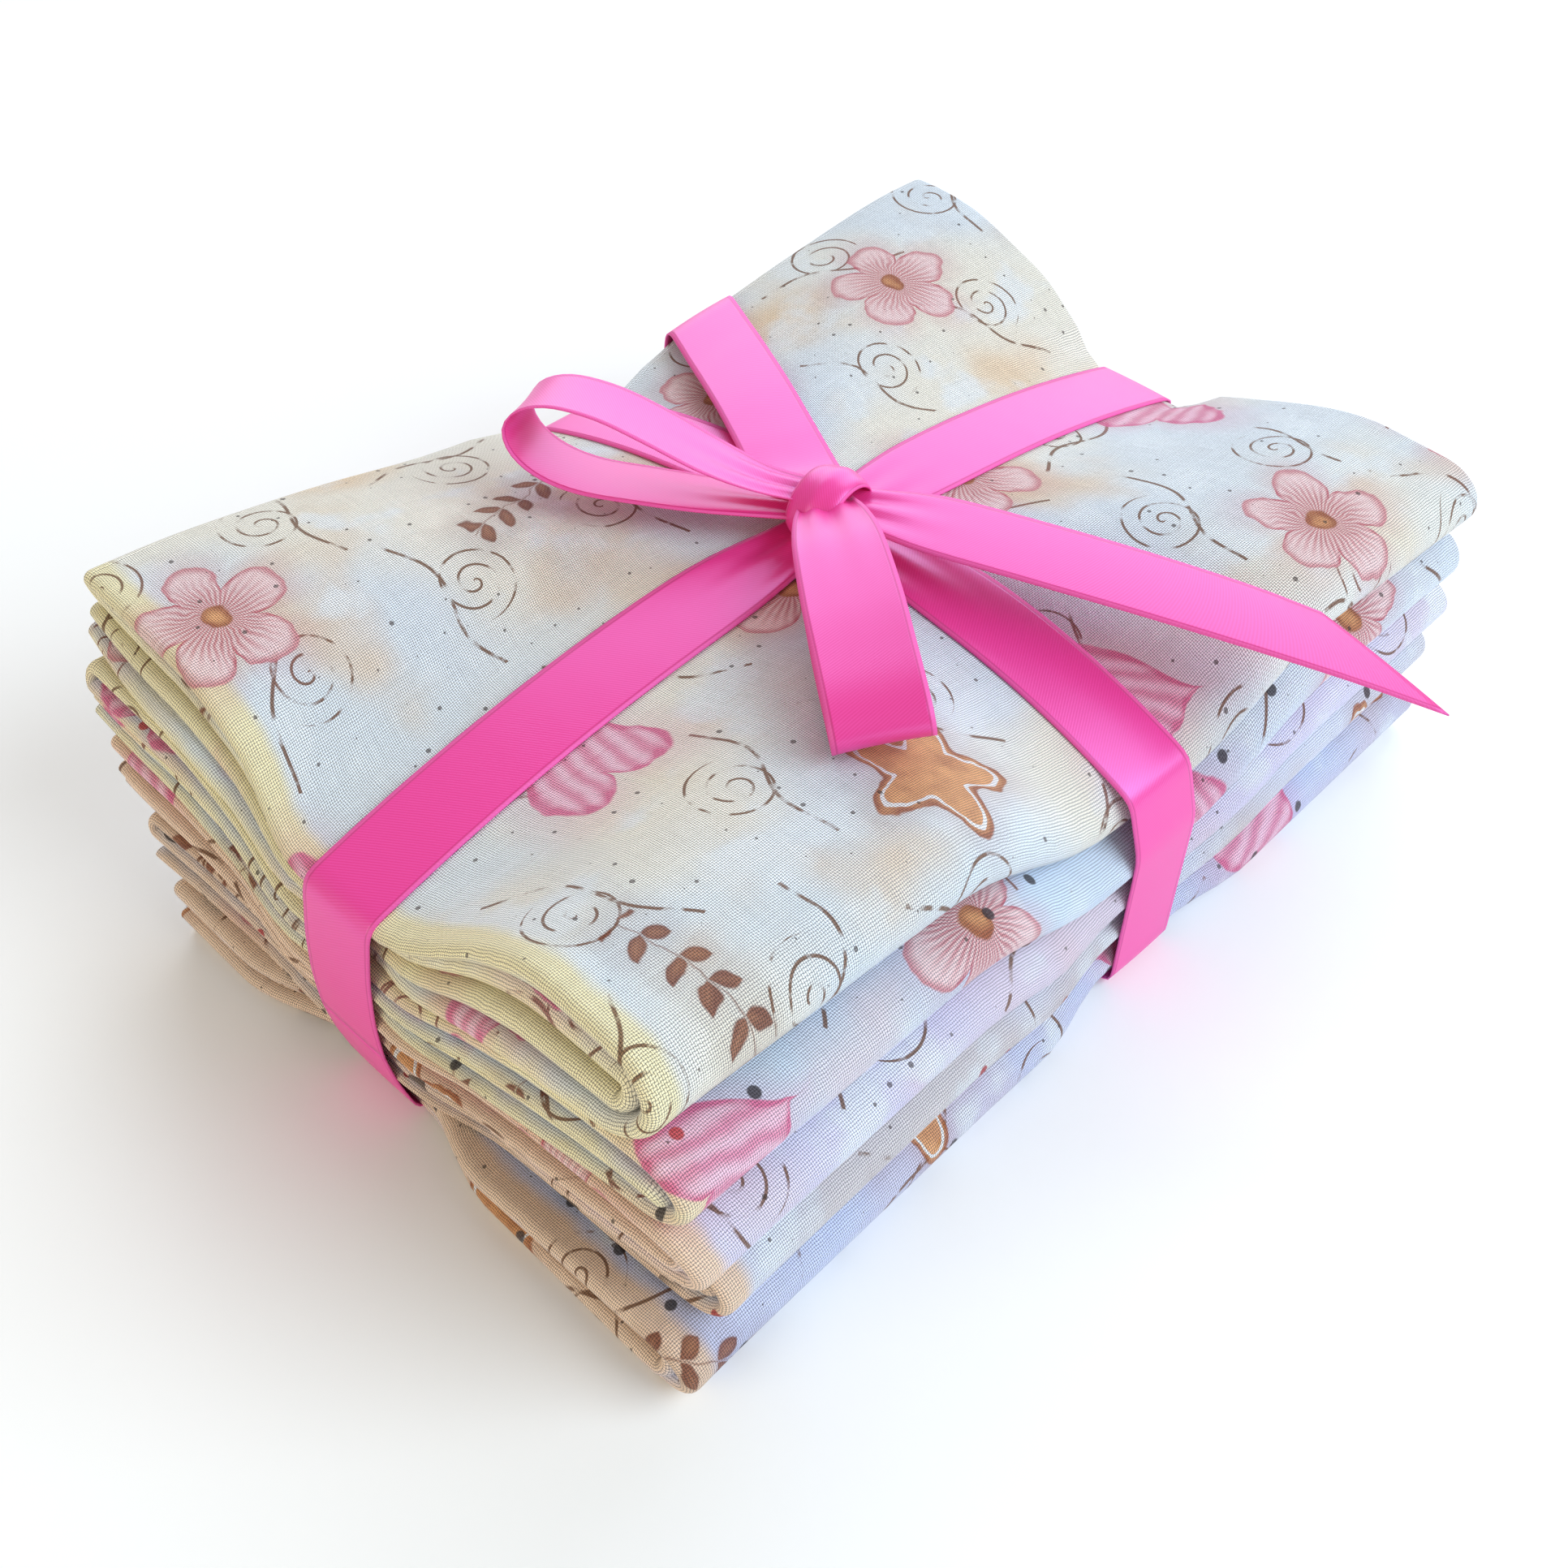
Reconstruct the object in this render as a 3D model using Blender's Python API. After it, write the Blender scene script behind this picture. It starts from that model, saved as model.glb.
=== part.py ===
"""Fat quarter bundle: five folded cotton cloths in a stack, tied with one satin ribbon.

Each cloth is a strip three plies thick, folded in half and in half again, so its section
goes back and forth four times. The spines of the folds face the front (-Y), the turned
ends of the strips face left (-X) and right (+X). The ribbon goes round the stack both
ways, and it is tied on top with a knot, two loops and two tails.
Units are metres, +Z is up, and the origin is under the middle of the bundle.
"""
import math

import bmesh
import bpy
from mathutils import Vector
from mathutils.bvhtree import BVHTree

MM = 0.001

# Folded layers, in millimetres, before the ribbon is pulled tight
LAYERS_PER_CLOTH = 4
LAST_LAYER = LAYERS_PER_CLOTH - 1
LAYER_GAP = 0.7                                  # air between two layers
FRONT_TURN_DEPTH = 6.5                           # outer front turn, along y
INNER_TURN_SLACK = 1.2                           # air inside the outer front turn
FREE_END_INSET = 1.5                             # loose ends stand in from the back turn
OUTER_TURN_STEPS = 8                             # facets of the front turn outside
INNER_TURN_STEPS = 4                             # and of the two turns inside it

# Outline of each folded cloth, top one first, in millimetres in the stack's plan. The
# lengthways ribbon runs along y = RIBBON_Y and the crossways one along x = RIBBON_X.
CLOTH_COLUMNS = (
    "name", "height", "left_front", "left_back", "right_front", "right_back",
    "front_left", "front_right", "back_left", "back_right", "left_waist",
)
CLOTHS = (
    ("fat_quarter_1", 13.2, -2.9, 3.6, 186.4, 192.0, 3.5, 0.0, 137.0, 134.0, -2.6),
    ("fat_quarter_2", 11.4, -4.2, -1.6, 185.5, 187.0, -3.0, -0.5, 133.0, 134.0, -4.6),
    ("fat_quarter_3", 11.8, -4.5, -2.8, 189.0, 188.0, -6.5, -0.5, 128.0, 130.0, -5.4),
    ("fat_quarter_4", 10.4, -1.0, -5.4, 188.5, 186.0, -7.5, 0.3, 120.0, 125.0, -4.4),
    ("fat_quarter_5", 13.2, -7.6, -6.2, 187.0, 187.0, -8.0, -1.6, 114.0, 118.0, -2.2),
)
STACK_HEIGHT = sum(row[1] for row in CLOTHS)

# How far each layer's turned end stands in from the cloth's own end, in millimetres: the
# outer low layer, the outer high one, the inner high one and the inner low one
LAYER_INSETS = {
    "fat_quarter_1": (1.6, 0.0, 2.4, 1.2),
    "fat_quarter_2": (0.4, 1.0, 0.0, 2.2),
    "fat_quarter_3": (1.2, 0.0, 1.6, 0.6),
    "fat_quarter_4": (0.0, 1.4, 0.6, 2.0),
    "fat_quarter_5": (0.8, 0.2, 1.8, 0.0),
}

# Ribbon, in millimetres
RIBBON_WIDTH = 15.0
RIBBON_THICKNESS = 1.0
RIBBON_CLEARANCE = 0.5                           # from the lengthways ribbon to the cloth
CROSS_CLEARANCE = 0.35                           # from the crossways ribbon to the cloth
RIBBON_X = 98.0
RIBBON_Y = 68.0
SKEW_X = -0.075                                  # the crossways ribbon leans in plan
SKEW_Y = 0.022                                   # and the lengthways one too

# What the tight ribbon does where it crosses an edge, in millimetres: how far it presses
# the top down and how widely, how far it lifts the bottom, and the plan line to which it
# presses the cloths that reach past it
TROUGH_FLAT = 8.5                                # half width of the trough's level bed
PINCH_REACH = 18.0                               # half width of the tightest part of a dip
BOTTOM_REACH = 34.0                              # half width of the whole lift below
PRESS_REACH = 30.0                               # and of what it presses in at an edge
TOP_DIP_AT_KNOT = 1.5
TOP_REACH_AT_KNOT = 44.0                         # half width of the whole dip on top
BOTTOM_LIFT_AT_MIDDLE = RIBBON_THICKNESS + RIBBON_CLEARANCE
EDGE_COLUMNS = ("top_dip", "top_reach", "pinch", "bottom_lift", "waist")
EDGES = {
    "left": (15.5, 44.0, 0.0, 1.8, None),
    "right": (19.5, 50.0, 0.5, 6.0, 184.0),
    "front": (16.0, 46.0, 0.0, 1.8, -1.6),
    "back": (14.5, 92.0, 0.28, 5.0, 131.5),
}
DIP_EXPONENT = 2.2
WIDEST_SHARE = 1.1                               # of the way from the middle to an edge
FRONT_CROWN = 3.0                                # the spines stand higher, most at the left
FRONT_CROWN_AT = 24.0
FRONT_CROWN_REACH = 46.0
BACK_LEFT_DROP = 0.5                             # the far left corner lies lower
PUFF = 5.0                                       # the top cloth puffs up at the front left
PUFF_AT = 36.0
PUFF_REACH = 32.0
PUFF_DEPTH = 60.0
PUFF_SHARES = ((0.35, 0.0), (13.2, 0.15), (23.6, 0.45), (35.4, 0.9), (44.0, 1.0), (60.0, 0.0))

# Plan lines, in millimetres, on which the cloth solids have their points
COLUMNS_X = (
    12.0, 28.0, 46.0, RIBBON_X - BOTTOM_REACH, RIBBON_X - TROUGH_FLAT,
    RIBBON_X + TROUGH_FLAT, RIBBON_X + BOTTOM_REACH, 152.0, 172.0,
)
ROWS_Y = (
    18.0, RIBBON_Y - BOTTOM_REACH, RIBBON_Y - TROUGH_FLAT,
    RIBBON_Y + TROUGH_FLAT, RIBBON_Y + BOTTOM_REACH,
)
BACK_ROWS = (0.36, 0.68)                         # shares from the last row to the back

# Corners of the ribbon's path round the stack, in radians
SHARP_TURN = 0.15                                # above this the corner is rounded
TURN_STEP = 0.45

# Bow, in millimetres: where its knot sits, and for each loop and tail its heading in
# degrees from +X and its path from the knot outwards, as the reach from the knot's middle,
# the rise above the stack's height and the ribbon's width
KNOT_X = 95.0
KNOT_Y = 66.5
KNOT_SIZE = (7.6, 6.8, 5.6)                      # half sizes
KNOT_RISE = 3.2                                  # its middle, above the stack's height
KNOT_UNDERSIDE = 0.01                            # how much of its roundness is left below
LEFT_LOOP_HEADING = 125.0
LEFT_LOOP_TILT = 14.0                            # it leans over to its right, in degrees
LEFT_LOOP = (
    (1.0, 2.5, 9.0), (8.0, 2.2, 11.0), (20.0, 1.8, 14.0), (30.0, 1.7, 15.0),
    (40.0, 1.8, 15.0), (46.8, 3.5, 15.0), (51.2, 6.7, 15.0), (52.6, 10.7, 15.0),
    (50.4, 14.0, 15.0), (45.2, 15.6, 15.0), (37.6, 14.8, 15.0), (29.5, 12.2, 15.0),
    (20.0, 8.6, 14.0), (11.0, 7.0, 11.0), (2.0, 6.4, 9.0),
)
FRONT_LOOP_HEADING = 235.0
FRONT_LOOP_TILT = 10.0
FRONT_LOOP = (
    (1.0, 2.2, 9.0), (8.0, 2.8, 11.0), (20.0, 3.8, 14.0), (34.0, 4.8, 15.0),
    (48.0, 4.6, 15.0), (53.5, 5.4, 15.0), (55.4, 7.2, 15.0), (53.5, 9.4, 15.0),
    (46.0, 10.8, 15.0), (32.0, 11.8, 15.0), (18.0, 11.4, 14.0), (9.0, 9.2, 12.0),
    (2.0, 6.5, 9.0),
)
RIGHT_TAIL_HEADING = -64.6
RIGHT_TAIL = (
    (1.0, 4.5, 9.0), (8.0, 5.5, 11.0), (18.0, 6.0, 14.5), (35.0, 6.0, 15.0),
    (55.0, 5.6, 15.0), (75.0, 4.6, 15.0), (88.7, 3.2, 15.0),
)
RIGHT_TAIL_SLANT = 10.7                          # of its cut end, to either side
BACK_TAIL_HEADING = 65.5
BACK_TAIL_START = ((1.0, 2.2, 9.0), (7.0, 2.6, 12.0))
BACK_TAIL_LYING = (16.0, 28.0, 40.0, 52.0, 60.0, 67.0)
BACK_TAIL_LIFT = 1.3                             # its middle above the cloth that it lies on
BACK_TAIL_OVER = ((74.5, -0.8), (79.4, -3.0), (81.8, -8.0), (82.4, -16.0), (82.4, -32.0))

# Plan position of the origin, in millimetres
CENTRE_X = 91.95
CENTRE_Y = 59.27

COLOURS = {
    "fat_quarter_1": (0.86, 0.80, 0.72),
    "fat_quarter_2": (0.84, 0.80, 0.78),
    "fat_quarter_3": (0.80, 0.66, 0.68),
    "fat_quarter_4": (0.74, 0.66, 0.62),
    "fat_quarter_5": (0.78, 0.72, 0.80),
    "ribbon": (0.84, 0.06, 0.30),
}
SMOOTH_UP_TO = 40                                # degrees between faces
CLOTH_ROUGHNESS = 0.9
RIBBON_ROUGHNESS = 0.35


def mix(a, b, share):
    return a + (b - a) * share


def fall(distance, reach):
    """1 on the level bed under the ribbon, falling smoothly to 0 at this reach."""
    beyond = (abs(distance) - TROUGH_FLAT) / (reach - TROUGH_FLAT)
    return math.cos(min(max(beyond, 0.0), 1.0) * math.pi / 2) ** 2


def trough(distance, reach, pinch=0.0):
    """A dip's section. The share called pinch falls off much sooner than the rest."""
    return mix(fall(distance, reach), fall(distance, PINCH_REACH), pinch)


def along(value, knot, column, middle, low_edge, high_edge):
    """A size that grows from the middle of the stack to what it is at either edge."""
    share = min(abs(value - knot) / knot, WIDEST_SHARE) ** DIP_EXPONENT
    edge = EDGES[low_edge if value < knot else high_edge][EDGE_COLUMNS.index(column)]
    return mix(middle, edge, share)


def top_level(x, y):
    """Height of the stack's top in millimetres, pressed down along both ribbons."""
    lengthways = along(x, RIBBON_X, "top_dip", TOP_DIP_AT_KNOT, "left", "right")
    crossways = along(y, RIBBON_Y, "top_dip", TOP_DIP_AT_KNOT, "front", "back")
    reach_x = along(x, RIBBON_X, "top_reach", TOP_REACH_AT_KNOT, "left", "right")
    reach_y = along(y, RIBBON_Y, "top_reach", TOP_REACH_AT_KNOT, "front", "back")
    pinch_x = along(x, RIBBON_X, "pinch", 0.0, "left", "right")
    pinch_y = along(y, RIBBON_Y, "pinch", 0.0, "front", "back")
    dip = max(
        lengthways * trough(y - RIBBON_Y, reach_x, pinch_x),
        crossways * trough(x - RIBBON_X, reach_y, pinch_y),
    )
    across = x / (2 * RIBBON_X)
    crown_share = min(abs(y - FRONT_CROWN_AT) / FRONT_CROWN_REACH, 1.0)
    crown = FRONT_CROWN * (1 - across) * math.cos(crown_share * math.pi / 2) ** 2
    drop = BACK_LEFT_DROP * (1 - across) * y / (2 * RIBBON_Y)
    return STACK_HEIGHT + crown - drop - dip


def bottom_level(x, y):
    """Height of the stack's underside, level on the table and lifted by both ribbons."""
    lengthways = along(x, RIBBON_X, "bottom_lift", BOTTOM_LIFT_AT_MIDDLE, "left", "right")
    crossways = along(y, RIBBON_Y, "bottom_lift", BOTTOM_LIFT_AT_MIDDLE, "front", "back")
    return max(
        lengthways * trough(y - RIBBON_Y, BOTTOM_REACH),
        crossways * trough(x - RIBBON_X, BOTTOM_REACH),
    )


def puffed(x, y, height):
    """The top cloth puffs up near its front left corner and thins the cloths below it."""
    along_y = min(abs(y - PUFF_AT) / PUFF_REACH, 1.0)
    amount = PUFF * math.cos(along_y * math.pi / 2) ** 2 * math.exp(-(max(x, 0) / PUFF_DEPTH) ** 2)
    for (low, low_share), (high, high_share) in zip(PUFF_SHARES, PUFF_SHARES[1:]):
        if low <= height <= high:
            return height - amount * mix(low_share, high_share, (height - low) / (high - low))
    return height


def level(x, y, height):
    """The real height of a point that lies at this height in the untied stack."""
    share = (puffed(x, y, height) - LAYER_GAP / 2) / (STACK_HEIGHT - LAYER_GAP)
    return mix(bottom_level(x, y), top_level(x, y), share)


def place(x, y, z):
    """From the stack's plan in millimetres to the part's frame in metres."""
    return Vector((
        (x + SKEW_X * (y - RIBBON_Y) - CENTRE_X) * MM,
        (y + SKEW_Y * (x - RIBBON_X) - CENTRE_Y) * MM,
        z * MM,
    ))


def pressed(end, waist, distance):
    """An end or side of a folded cloth, moved to its waist where the ribbon lies."""
    return mix(end, waist, trough(distance, PRESS_REACH))


def cloth_ends(cloth, y):
    """Left and right end of a folded cloth at this y."""
    share = y / (2 * RIBBON_Y)
    left = mix(cloth["left_front"], cloth["left_back"], share)
    right = mix(cloth["right_front"], cloth["right_back"], share)
    left = pressed(left, cloth["left_waist"], y - RIBBON_Y)
    return left, pressed(right, min(right, EDGES["right"][-1]), y - RIBBON_Y)


def cloth_sides(cloth, x):
    """Front and back of a folded cloth at this x."""
    share = x / (2 * RIBBON_X)
    front = mix(cloth["front_left"], cloth["front_right"], share)
    back = mix(cloth["back_left"], cloth["back_right"], share)
    front = pressed(front, max(front, EDGES["front"][-1]), x - RIBBON_X)
    return front, pressed(back, min(back, EDGES["back"][-1]), x - RIBBON_X)


def rows_to(back):
    """The plan's rows, and those between the last of them and this back."""
    return [*ROWS_Y, *(mix(ROWS_Y[-1], back, share) for share in BACK_ROWS)]


def turn(centre, radii, start, end, steps):
    """Points of a turn of the section as (y, z) pairs, from one angle to the other."""
    angles = [math.radians(mix(start, end, step / steps)) for step in range(steps + 1)]
    return [
        (centre[0] + radii[0] * math.cos(angle), centre[1] + radii[1] * math.sin(angle))
        for angle in angles
    ]


def cloth_section(front, back, base, pitch):
    """Both faces of the four layers' section, as lists of (y, z, layer) in millimetres.

    The path starts at the loose end of the outer lower layer at the back, turns up at the
    front, turns down at the back, turns at the front inside the first turn, and ends at
    the loose end of the inner lower layer. Layer counts the turns that it has passed.
    """
    half = (pitch - LAYER_GAP) / 2
    small = pitch / 2
    outer_low, inner_low, inner_high, outer_high = (
        base + pitch * (number + 0.5) for number in range(LAYERS_PER_CLOTH)
    )
    outer_centre = (front + half + FRONT_TURN_DEPTH, base + 2 * pitch)
    inner_front = front + 2 * half + INNER_TURN_SLACK
    inner_centre = (inner_front + half + small, base + 2 * pitch)
    back_centre = (back - half - small, base + 3 * pitch)
    backwards = rows_to(back)
    forwards = backwards[::-1]
    faces = []
    for reach in (half, -half):
        outer_radii = (FRONT_TURN_DEPTH + reach, 1.5 * pitch + reach)
        points = [(back - FREE_END_INSET, outer_low - reach, 0)]
        points += [(y, outer_low - reach, 0) for y in forwards]
        points += with_layer(turn(outer_centre, outer_radii, 270, 90, OUTER_TURN_STEPS), 0)
        points += [(y, outer_high + reach, 1) for y in backwards]
        back_radii = (small + reach, small + reach)
        points += with_layer(turn(back_centre, back_radii, 90, -90, INNER_TURN_STEPS), 1)
        points += [(y, inner_high - reach, 2) for y in forwards]
        inner_radii = (small - reach, small - reach)
        points += with_layer(turn(inner_centre, inner_radii, 90, 270, INNER_TURN_STEPS), 2)
        points += [(y, inner_low + reach, 3) for y in backwards]
        points += [(back - FREE_END_INSET, inner_low + reach, 3)]
        faces.append(points)
    return faces


def with_layer(points, first):
    """Number the points of a turn evenly from one layer to the next."""
    last = len(points) - 1
    return [(y, z, first + number / last) for number, (y, z) in enumerate(points)]


def layer_inset(name, layer):
    """How far the strip's end stands in at this point of its path."""
    insets = LAYER_INSETS[name]
    number = min(int(layer), len(insets) - 2)
    share = layer - number
    return mix(insets[number], insets[number + 1], share * share * (3 - 2 * share))


def add_object(name, bm):
    """Turn the bmesh into a named object with its own material."""
    bmesh.ops.recalc_face_normals(bm, faces=bm.faces)
    mesh = bpy.data.meshes.new(name)
    bm.to_mesh(mesh)
    bm.free()
    mesh.shade_smooth()
    mesh.set_sharp_from_angle(angle=math.radians(SMOOTH_UP_TO))
    obj = bpy.data.objects.new(name, mesh)
    bpy.context.scene.collection.objects.link(obj)
    if name in COLOURS:
        material = bpy.data.materials.new(name)
        material.use_nodes = True
        shader = material.node_tree.nodes["Principled BSDF"]
        shader.inputs["Base Color"].default_value = (*COLOURS[name], 1.0)
        shader.inputs["Roughness"].default_value = (
            RIBBON_ROUGHNESS if name == "ribbon" else CLOTH_ROUGHNESS
        )
        shader.inputs["Metallic"].default_value = 0.0
        mesh.materials.append(material)
    return obj


def add_cell(bm, corners, rising):
    """Two triangles, always cut along the same plan diagonal so stacked faces match."""
    a, b, c, d = corners
    if rising:
        bm.faces.new((a, b, c))
        bm.faces.new((a, c, d))
    else:
        bm.faces.new((a, b, d))
        bm.faces.new((b, c, d))


def make_cloth(cloth, base):
    """One folded cloth as one closed solid, from sections at the plan's columns."""
    bm = bmesh.new()
    pitch = cloth["height"] / LAYERS_PER_CLOTH
    sections = []
    for column in (cloth["left_front"], *COLUMNS_X, cloth["right_front"]):
        front, back = cloth_sides(cloth, column)
        faces = []
        for points in cloth_section(front, back, base, pitch):
            row = []
            for y, z, layer in points:
                x = column
                if column == cloth["left_front"]:
                    x = cloth_ends(cloth, y)[0] + layer_inset(cloth["name"], layer)
                elif column == cloth["right_front"]:
                    x = cloth_ends(cloth, y)[1] - layer_inset(cloth["name"], LAST_LAYER - layer)
                row.append((bm.verts.new(place(x, y, level(x, y, z))), y))
            faces.append(row)
        sections.append(faces)
    last = len(sections[0][0]) - 1
    for one, two in zip(sections, sections[1:]):
        for face in (0, 1):
            for k in range(last):
                rising = one[face][k + 1][1] > one[face][k][1]
                corners = (one[face][k], two[face][k], two[face][k + 1], one[face][k + 1])
                add_cell(bm, [corner[0] for corner in corners], rising)
        for k in (0, last):
            corners = (one[0][k], two[0][k], two[1][k], one[1][k])
            add_cell(bm, [corner[0] for corner in corners], True)
    for faces in (sections[0], sections[-1]):
        for k in range(last):
            corners = (faces[0][k], faces[0][k + 1], faces[1][k + 1], faces[1][k])
            add_cell(bm, [corner[0] for corner in corners], True)
    return add_object(cloth["name"], bm)


def cross(a, b, c):
    return (b[0] - a[0]) * (c[1] - a[1]) - (b[1] - a[1]) * (c[0] - a[0])


def half_hull(points):
    kept = []
    for point in points:
        while len(kept) > 1 and cross(kept[-2], kept[-1], point) <= 0:
            kept.pop()
        kept.append(point)
    return kept[:-1]


def wound_outline(lengthways):
    """Convex section of the stack under one ribbon, anticlockwise, as (across, z) pairs."""
    points = []
    top_cloth = dict(zip(CLOTH_COLUMNS, CLOTHS[0]))
    for line in (-TROUGH_FLAT, TROUGH_FLAT):
        back = cloth_sides(top_cloth, RIBBON_X + line)[1]
        for value in COLUMNS_X if lengthways else rows_to(back):
            x, y = (value, RIBBON_Y + line) if lengthways else (RIBBON_X + line, value)
            points += [(value, top_level(x, y)), (value, bottom_level(x, y))]
        base = STACK_HEIGHT
        for row in CLOTHS:
            cloth = dict(zip(CLOTH_COLUMNS, row))
            base -= cloth["height"]
            find_ends = cloth_ends if lengthways else cloth_sides
            for value in find_ends(cloth, (RIBBON_Y if lengthways else RIBBON_X) + line):
                x, y = (value, RIBBON_Y + line) if lengthways else (RIBBON_X + line, value)
                points += [(value, level(x, y, z)) for z in (base, base + cloth["height"])]
    points = sorted(set(points))
    return half_hull(points) + half_hull(points[::-1])


def offset_path(outline, distance):
    """The outline moved outwards by a distance, with its sharp corners rounded."""
    path = []
    for number, point in enumerate(outline):
        before = outline[number - 1]
        after = outline[(number + 1) % len(outline)]
        first = math.atan2(before[0] - point[0], point[1] - before[1])
        swing = math.atan2(point[0] - after[0], after[1] - point[1]) - first
        swing %= 2 * math.pi
        steps = math.ceil(swing / TURN_STEP)
        angles = [first + swing / 2]
        if swing > SHARP_TURN:
            angles = [first + swing * step / steps for step in range(steps + 1)]
        path += [
            (point[0] + distance * math.cos(angle), point[1] + distance * math.sin(angle))
            for angle in angles
        ]
    return path


def make_ring(name, lengthways, clearance):
    """The ribbon's closed turn round the stack, one way or the other."""
    outline = wound_outline(lengthways)
    inner = offset_path(outline, clearance)
    outer = offset_path(outline, clearance + RIBBON_THICKNESS)
    bm = bmesh.new()
    frames = []
    for (near, near_z), (far, far_z) in zip(inner, outer):
        frame = []
        corners = ((near, near_z, -1), (near, near_z, 1), (far, far_z, 1), (far, far_z, -1))
        for value, z, side in corners:
            shift = side * RIBBON_WIDTH / 2
            x, y = (value, RIBBON_Y + shift) if lengthways else (RIBBON_X + shift, value)
            frame.append(bm.verts.new(place(x, y, z)))
        frames.append(frame)
    join_frames(bm, frames, True)
    return add_object(name, bm)


def join_frames(bm, frames, closed):
    """Walls between neighbouring four-cornered frames, and end caps on an open strip."""
    pairs = list(zip(frames, frames[1:]))
    if closed:
        pairs.append((frames[-1], frames[0]))
    else:
        bm.faces.new(frames[0])
        bm.faces.new(frames[-1])
    for one, two in pairs:
        for corner in range(4):
            other = (corner + 1) % 4
            bm.faces.new((one[corner], one[other], two[other], two[corner]))


def make_strip(name, heading, rows, slant=0.0, tilt=0.0):
    """A loop or tail of the bow: it runs out from the knot in one plane."""
    ahead = Vector((math.cos(math.radians(heading)), math.sin(math.radians(heading)), 0))
    lean = math.radians(tilt)
    side = Vector((ahead.y, -ahead.x, 0)) * math.cos(lean) - Vector((0, 0, math.sin(lean)))
    rising = Vector((ahead.y, -ahead.x, 0)) * math.sin(lean) + Vector((0, 0, math.cos(lean)))
    knot = Vector((KNOT_X - CENTRE_X, KNOT_Y - CENTRE_Y, STACK_HEIGHT))
    points = [knot + ahead * reach + rising * rise for reach, rise, width in rows]
    bm = bmesh.new()
    frames = []
    for number, point in enumerate(points):
        before = points[max(number - 1, 0)]
        after = points[min(number + 1, len(points) - 1)]
        tangent = (after - before).normalized()
        out = side.cross(tangent) * RIBBON_THICKNESS / 2
        half = side * rows[number][2] / 2
        shift = tangent * (slant if number == len(points) - 1 else 0.0)
        right, left = half + shift, -half - shift
        corners = (right + out, left + out, left - out, right - out)
        frames.append([bm.verts.new((point + corner) * MM) for corner in corners])
    join_frames(bm, frames, False)
    return add_object(name, bm)


def back_tail_rows(top_cloth):
    """The tail that lies on the top cloth and hangs over its back edge."""
    heading = math.radians(BACK_TAIL_HEADING)
    surface = BVHTree.FromObject(top_cloth, bpy.context.evaluated_depsgraph_get())
    rows = list(BACK_TAIL_START)
    for reach in BACK_TAIL_LYING:
        heights = []
        for side in (-RIBBON_WIDTH / 2, 0.0, RIBBON_WIDTH / 2):
            x = KNOT_X - CENTRE_X + reach * math.cos(heading) + side * math.sin(heading)
            y = KNOT_Y - CENTRE_Y + reach * math.sin(heading) - side * math.cos(heading)
            hit = surface.ray_cast(Vector((x, y, 2 * STACK_HEIGHT)) * MM, Vector((0, 0, -1)))
            heights.append(hit[0].z / MM)
        rows.append((reach, max(heights) - STACK_HEIGHT + BACK_TAIL_LIFT, RIBBON_WIDTH))
    edge = rows[-1][1]
    return rows + [(reach, edge + fall, RIBBON_WIDTH) for reach, fall in BACK_TAIL_OVER]


def make_knot():
    """The knot: a flattened ball that stands on the middle of the crossed ribbons."""
    bm = bmesh.new()
    bmesh.ops.create_uvsphere(bm, u_segments=16, v_segments=10, radius=1.0)
    floor = top_level(RIBBON_X, RIBBON_Y) + RIBBON_CLEARANCE + RIBBON_THICKNESS / 2
    for vert in bm.verts:
        x, y, z = (value * size for value, size in zip(vert.co, KNOT_SIZE))
        z = max(z + STACK_HEIGHT + KNOT_RISE, floor + KNOT_UNDERSIDE * z)
        vert.co = Vector((x + KNOT_X - CENTRE_X, y + KNOT_Y - CENTRE_Y, z)) * MM
    return add_object("knot", bm)


def make_ribbon(top_cloth):
    """The whole ribbon as one solid: both turns, the knot, two loops and two tails."""
    ribbon = make_ring("ribbon", True, RIBBON_CLEARANCE)
    pieces = (
        make_ring("crossways_turn", False, CROSS_CLEARANCE),
        make_knot(),
        make_strip("left_loop", LEFT_LOOP_HEADING, LEFT_LOOP, tilt=LEFT_LOOP_TILT),
        make_strip("front_loop", FRONT_LOOP_HEADING, FRONT_LOOP, tilt=FRONT_LOOP_TILT),
        make_strip("right_tail", RIGHT_TAIL_HEADING, RIGHT_TAIL, RIGHT_TAIL_SLANT),
        make_strip("back_tail", BACK_TAIL_HEADING, back_tail_rows(top_cloth)),
    )
    for piece in pieces:
        piece.hide_render = True
        piece.display_type = "WIRE"
        join = ribbon.modifiers.new(piece.name, "BOOLEAN")
        join.operation = "UNION"
        join.solver = "EXACT"
        join.object = piece
    return ribbon


def main():
    for obj in list(bpy.data.objects):
        bpy.data.objects.remove(obj)
    base = STACK_HEIGHT
    for row in CLOTHS:
        cloth = dict(zip(CLOTH_COLUMNS, row))
        base -= cloth["height"]
        make_cloth(cloth, base)
    make_ribbon(bpy.data.objects[CLOTHS[0][0]])


main()
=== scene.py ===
# %% [markdown]
# # A bundle of fat quarters, folded and tied
#
# Five cotton cloths for patchwork lie folded in a stack, and one pink satin ribbon goes
# round them both ways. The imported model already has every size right, but its cloths are
# plain solids. Here each one is made again as what it is: a single thin sheet, folded.
# All lengths below are in millimetres unless a name says otherwise.

# %% The model
import math

import bpy
import numpy as np
from mathutils import Matrix, Vector


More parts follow.
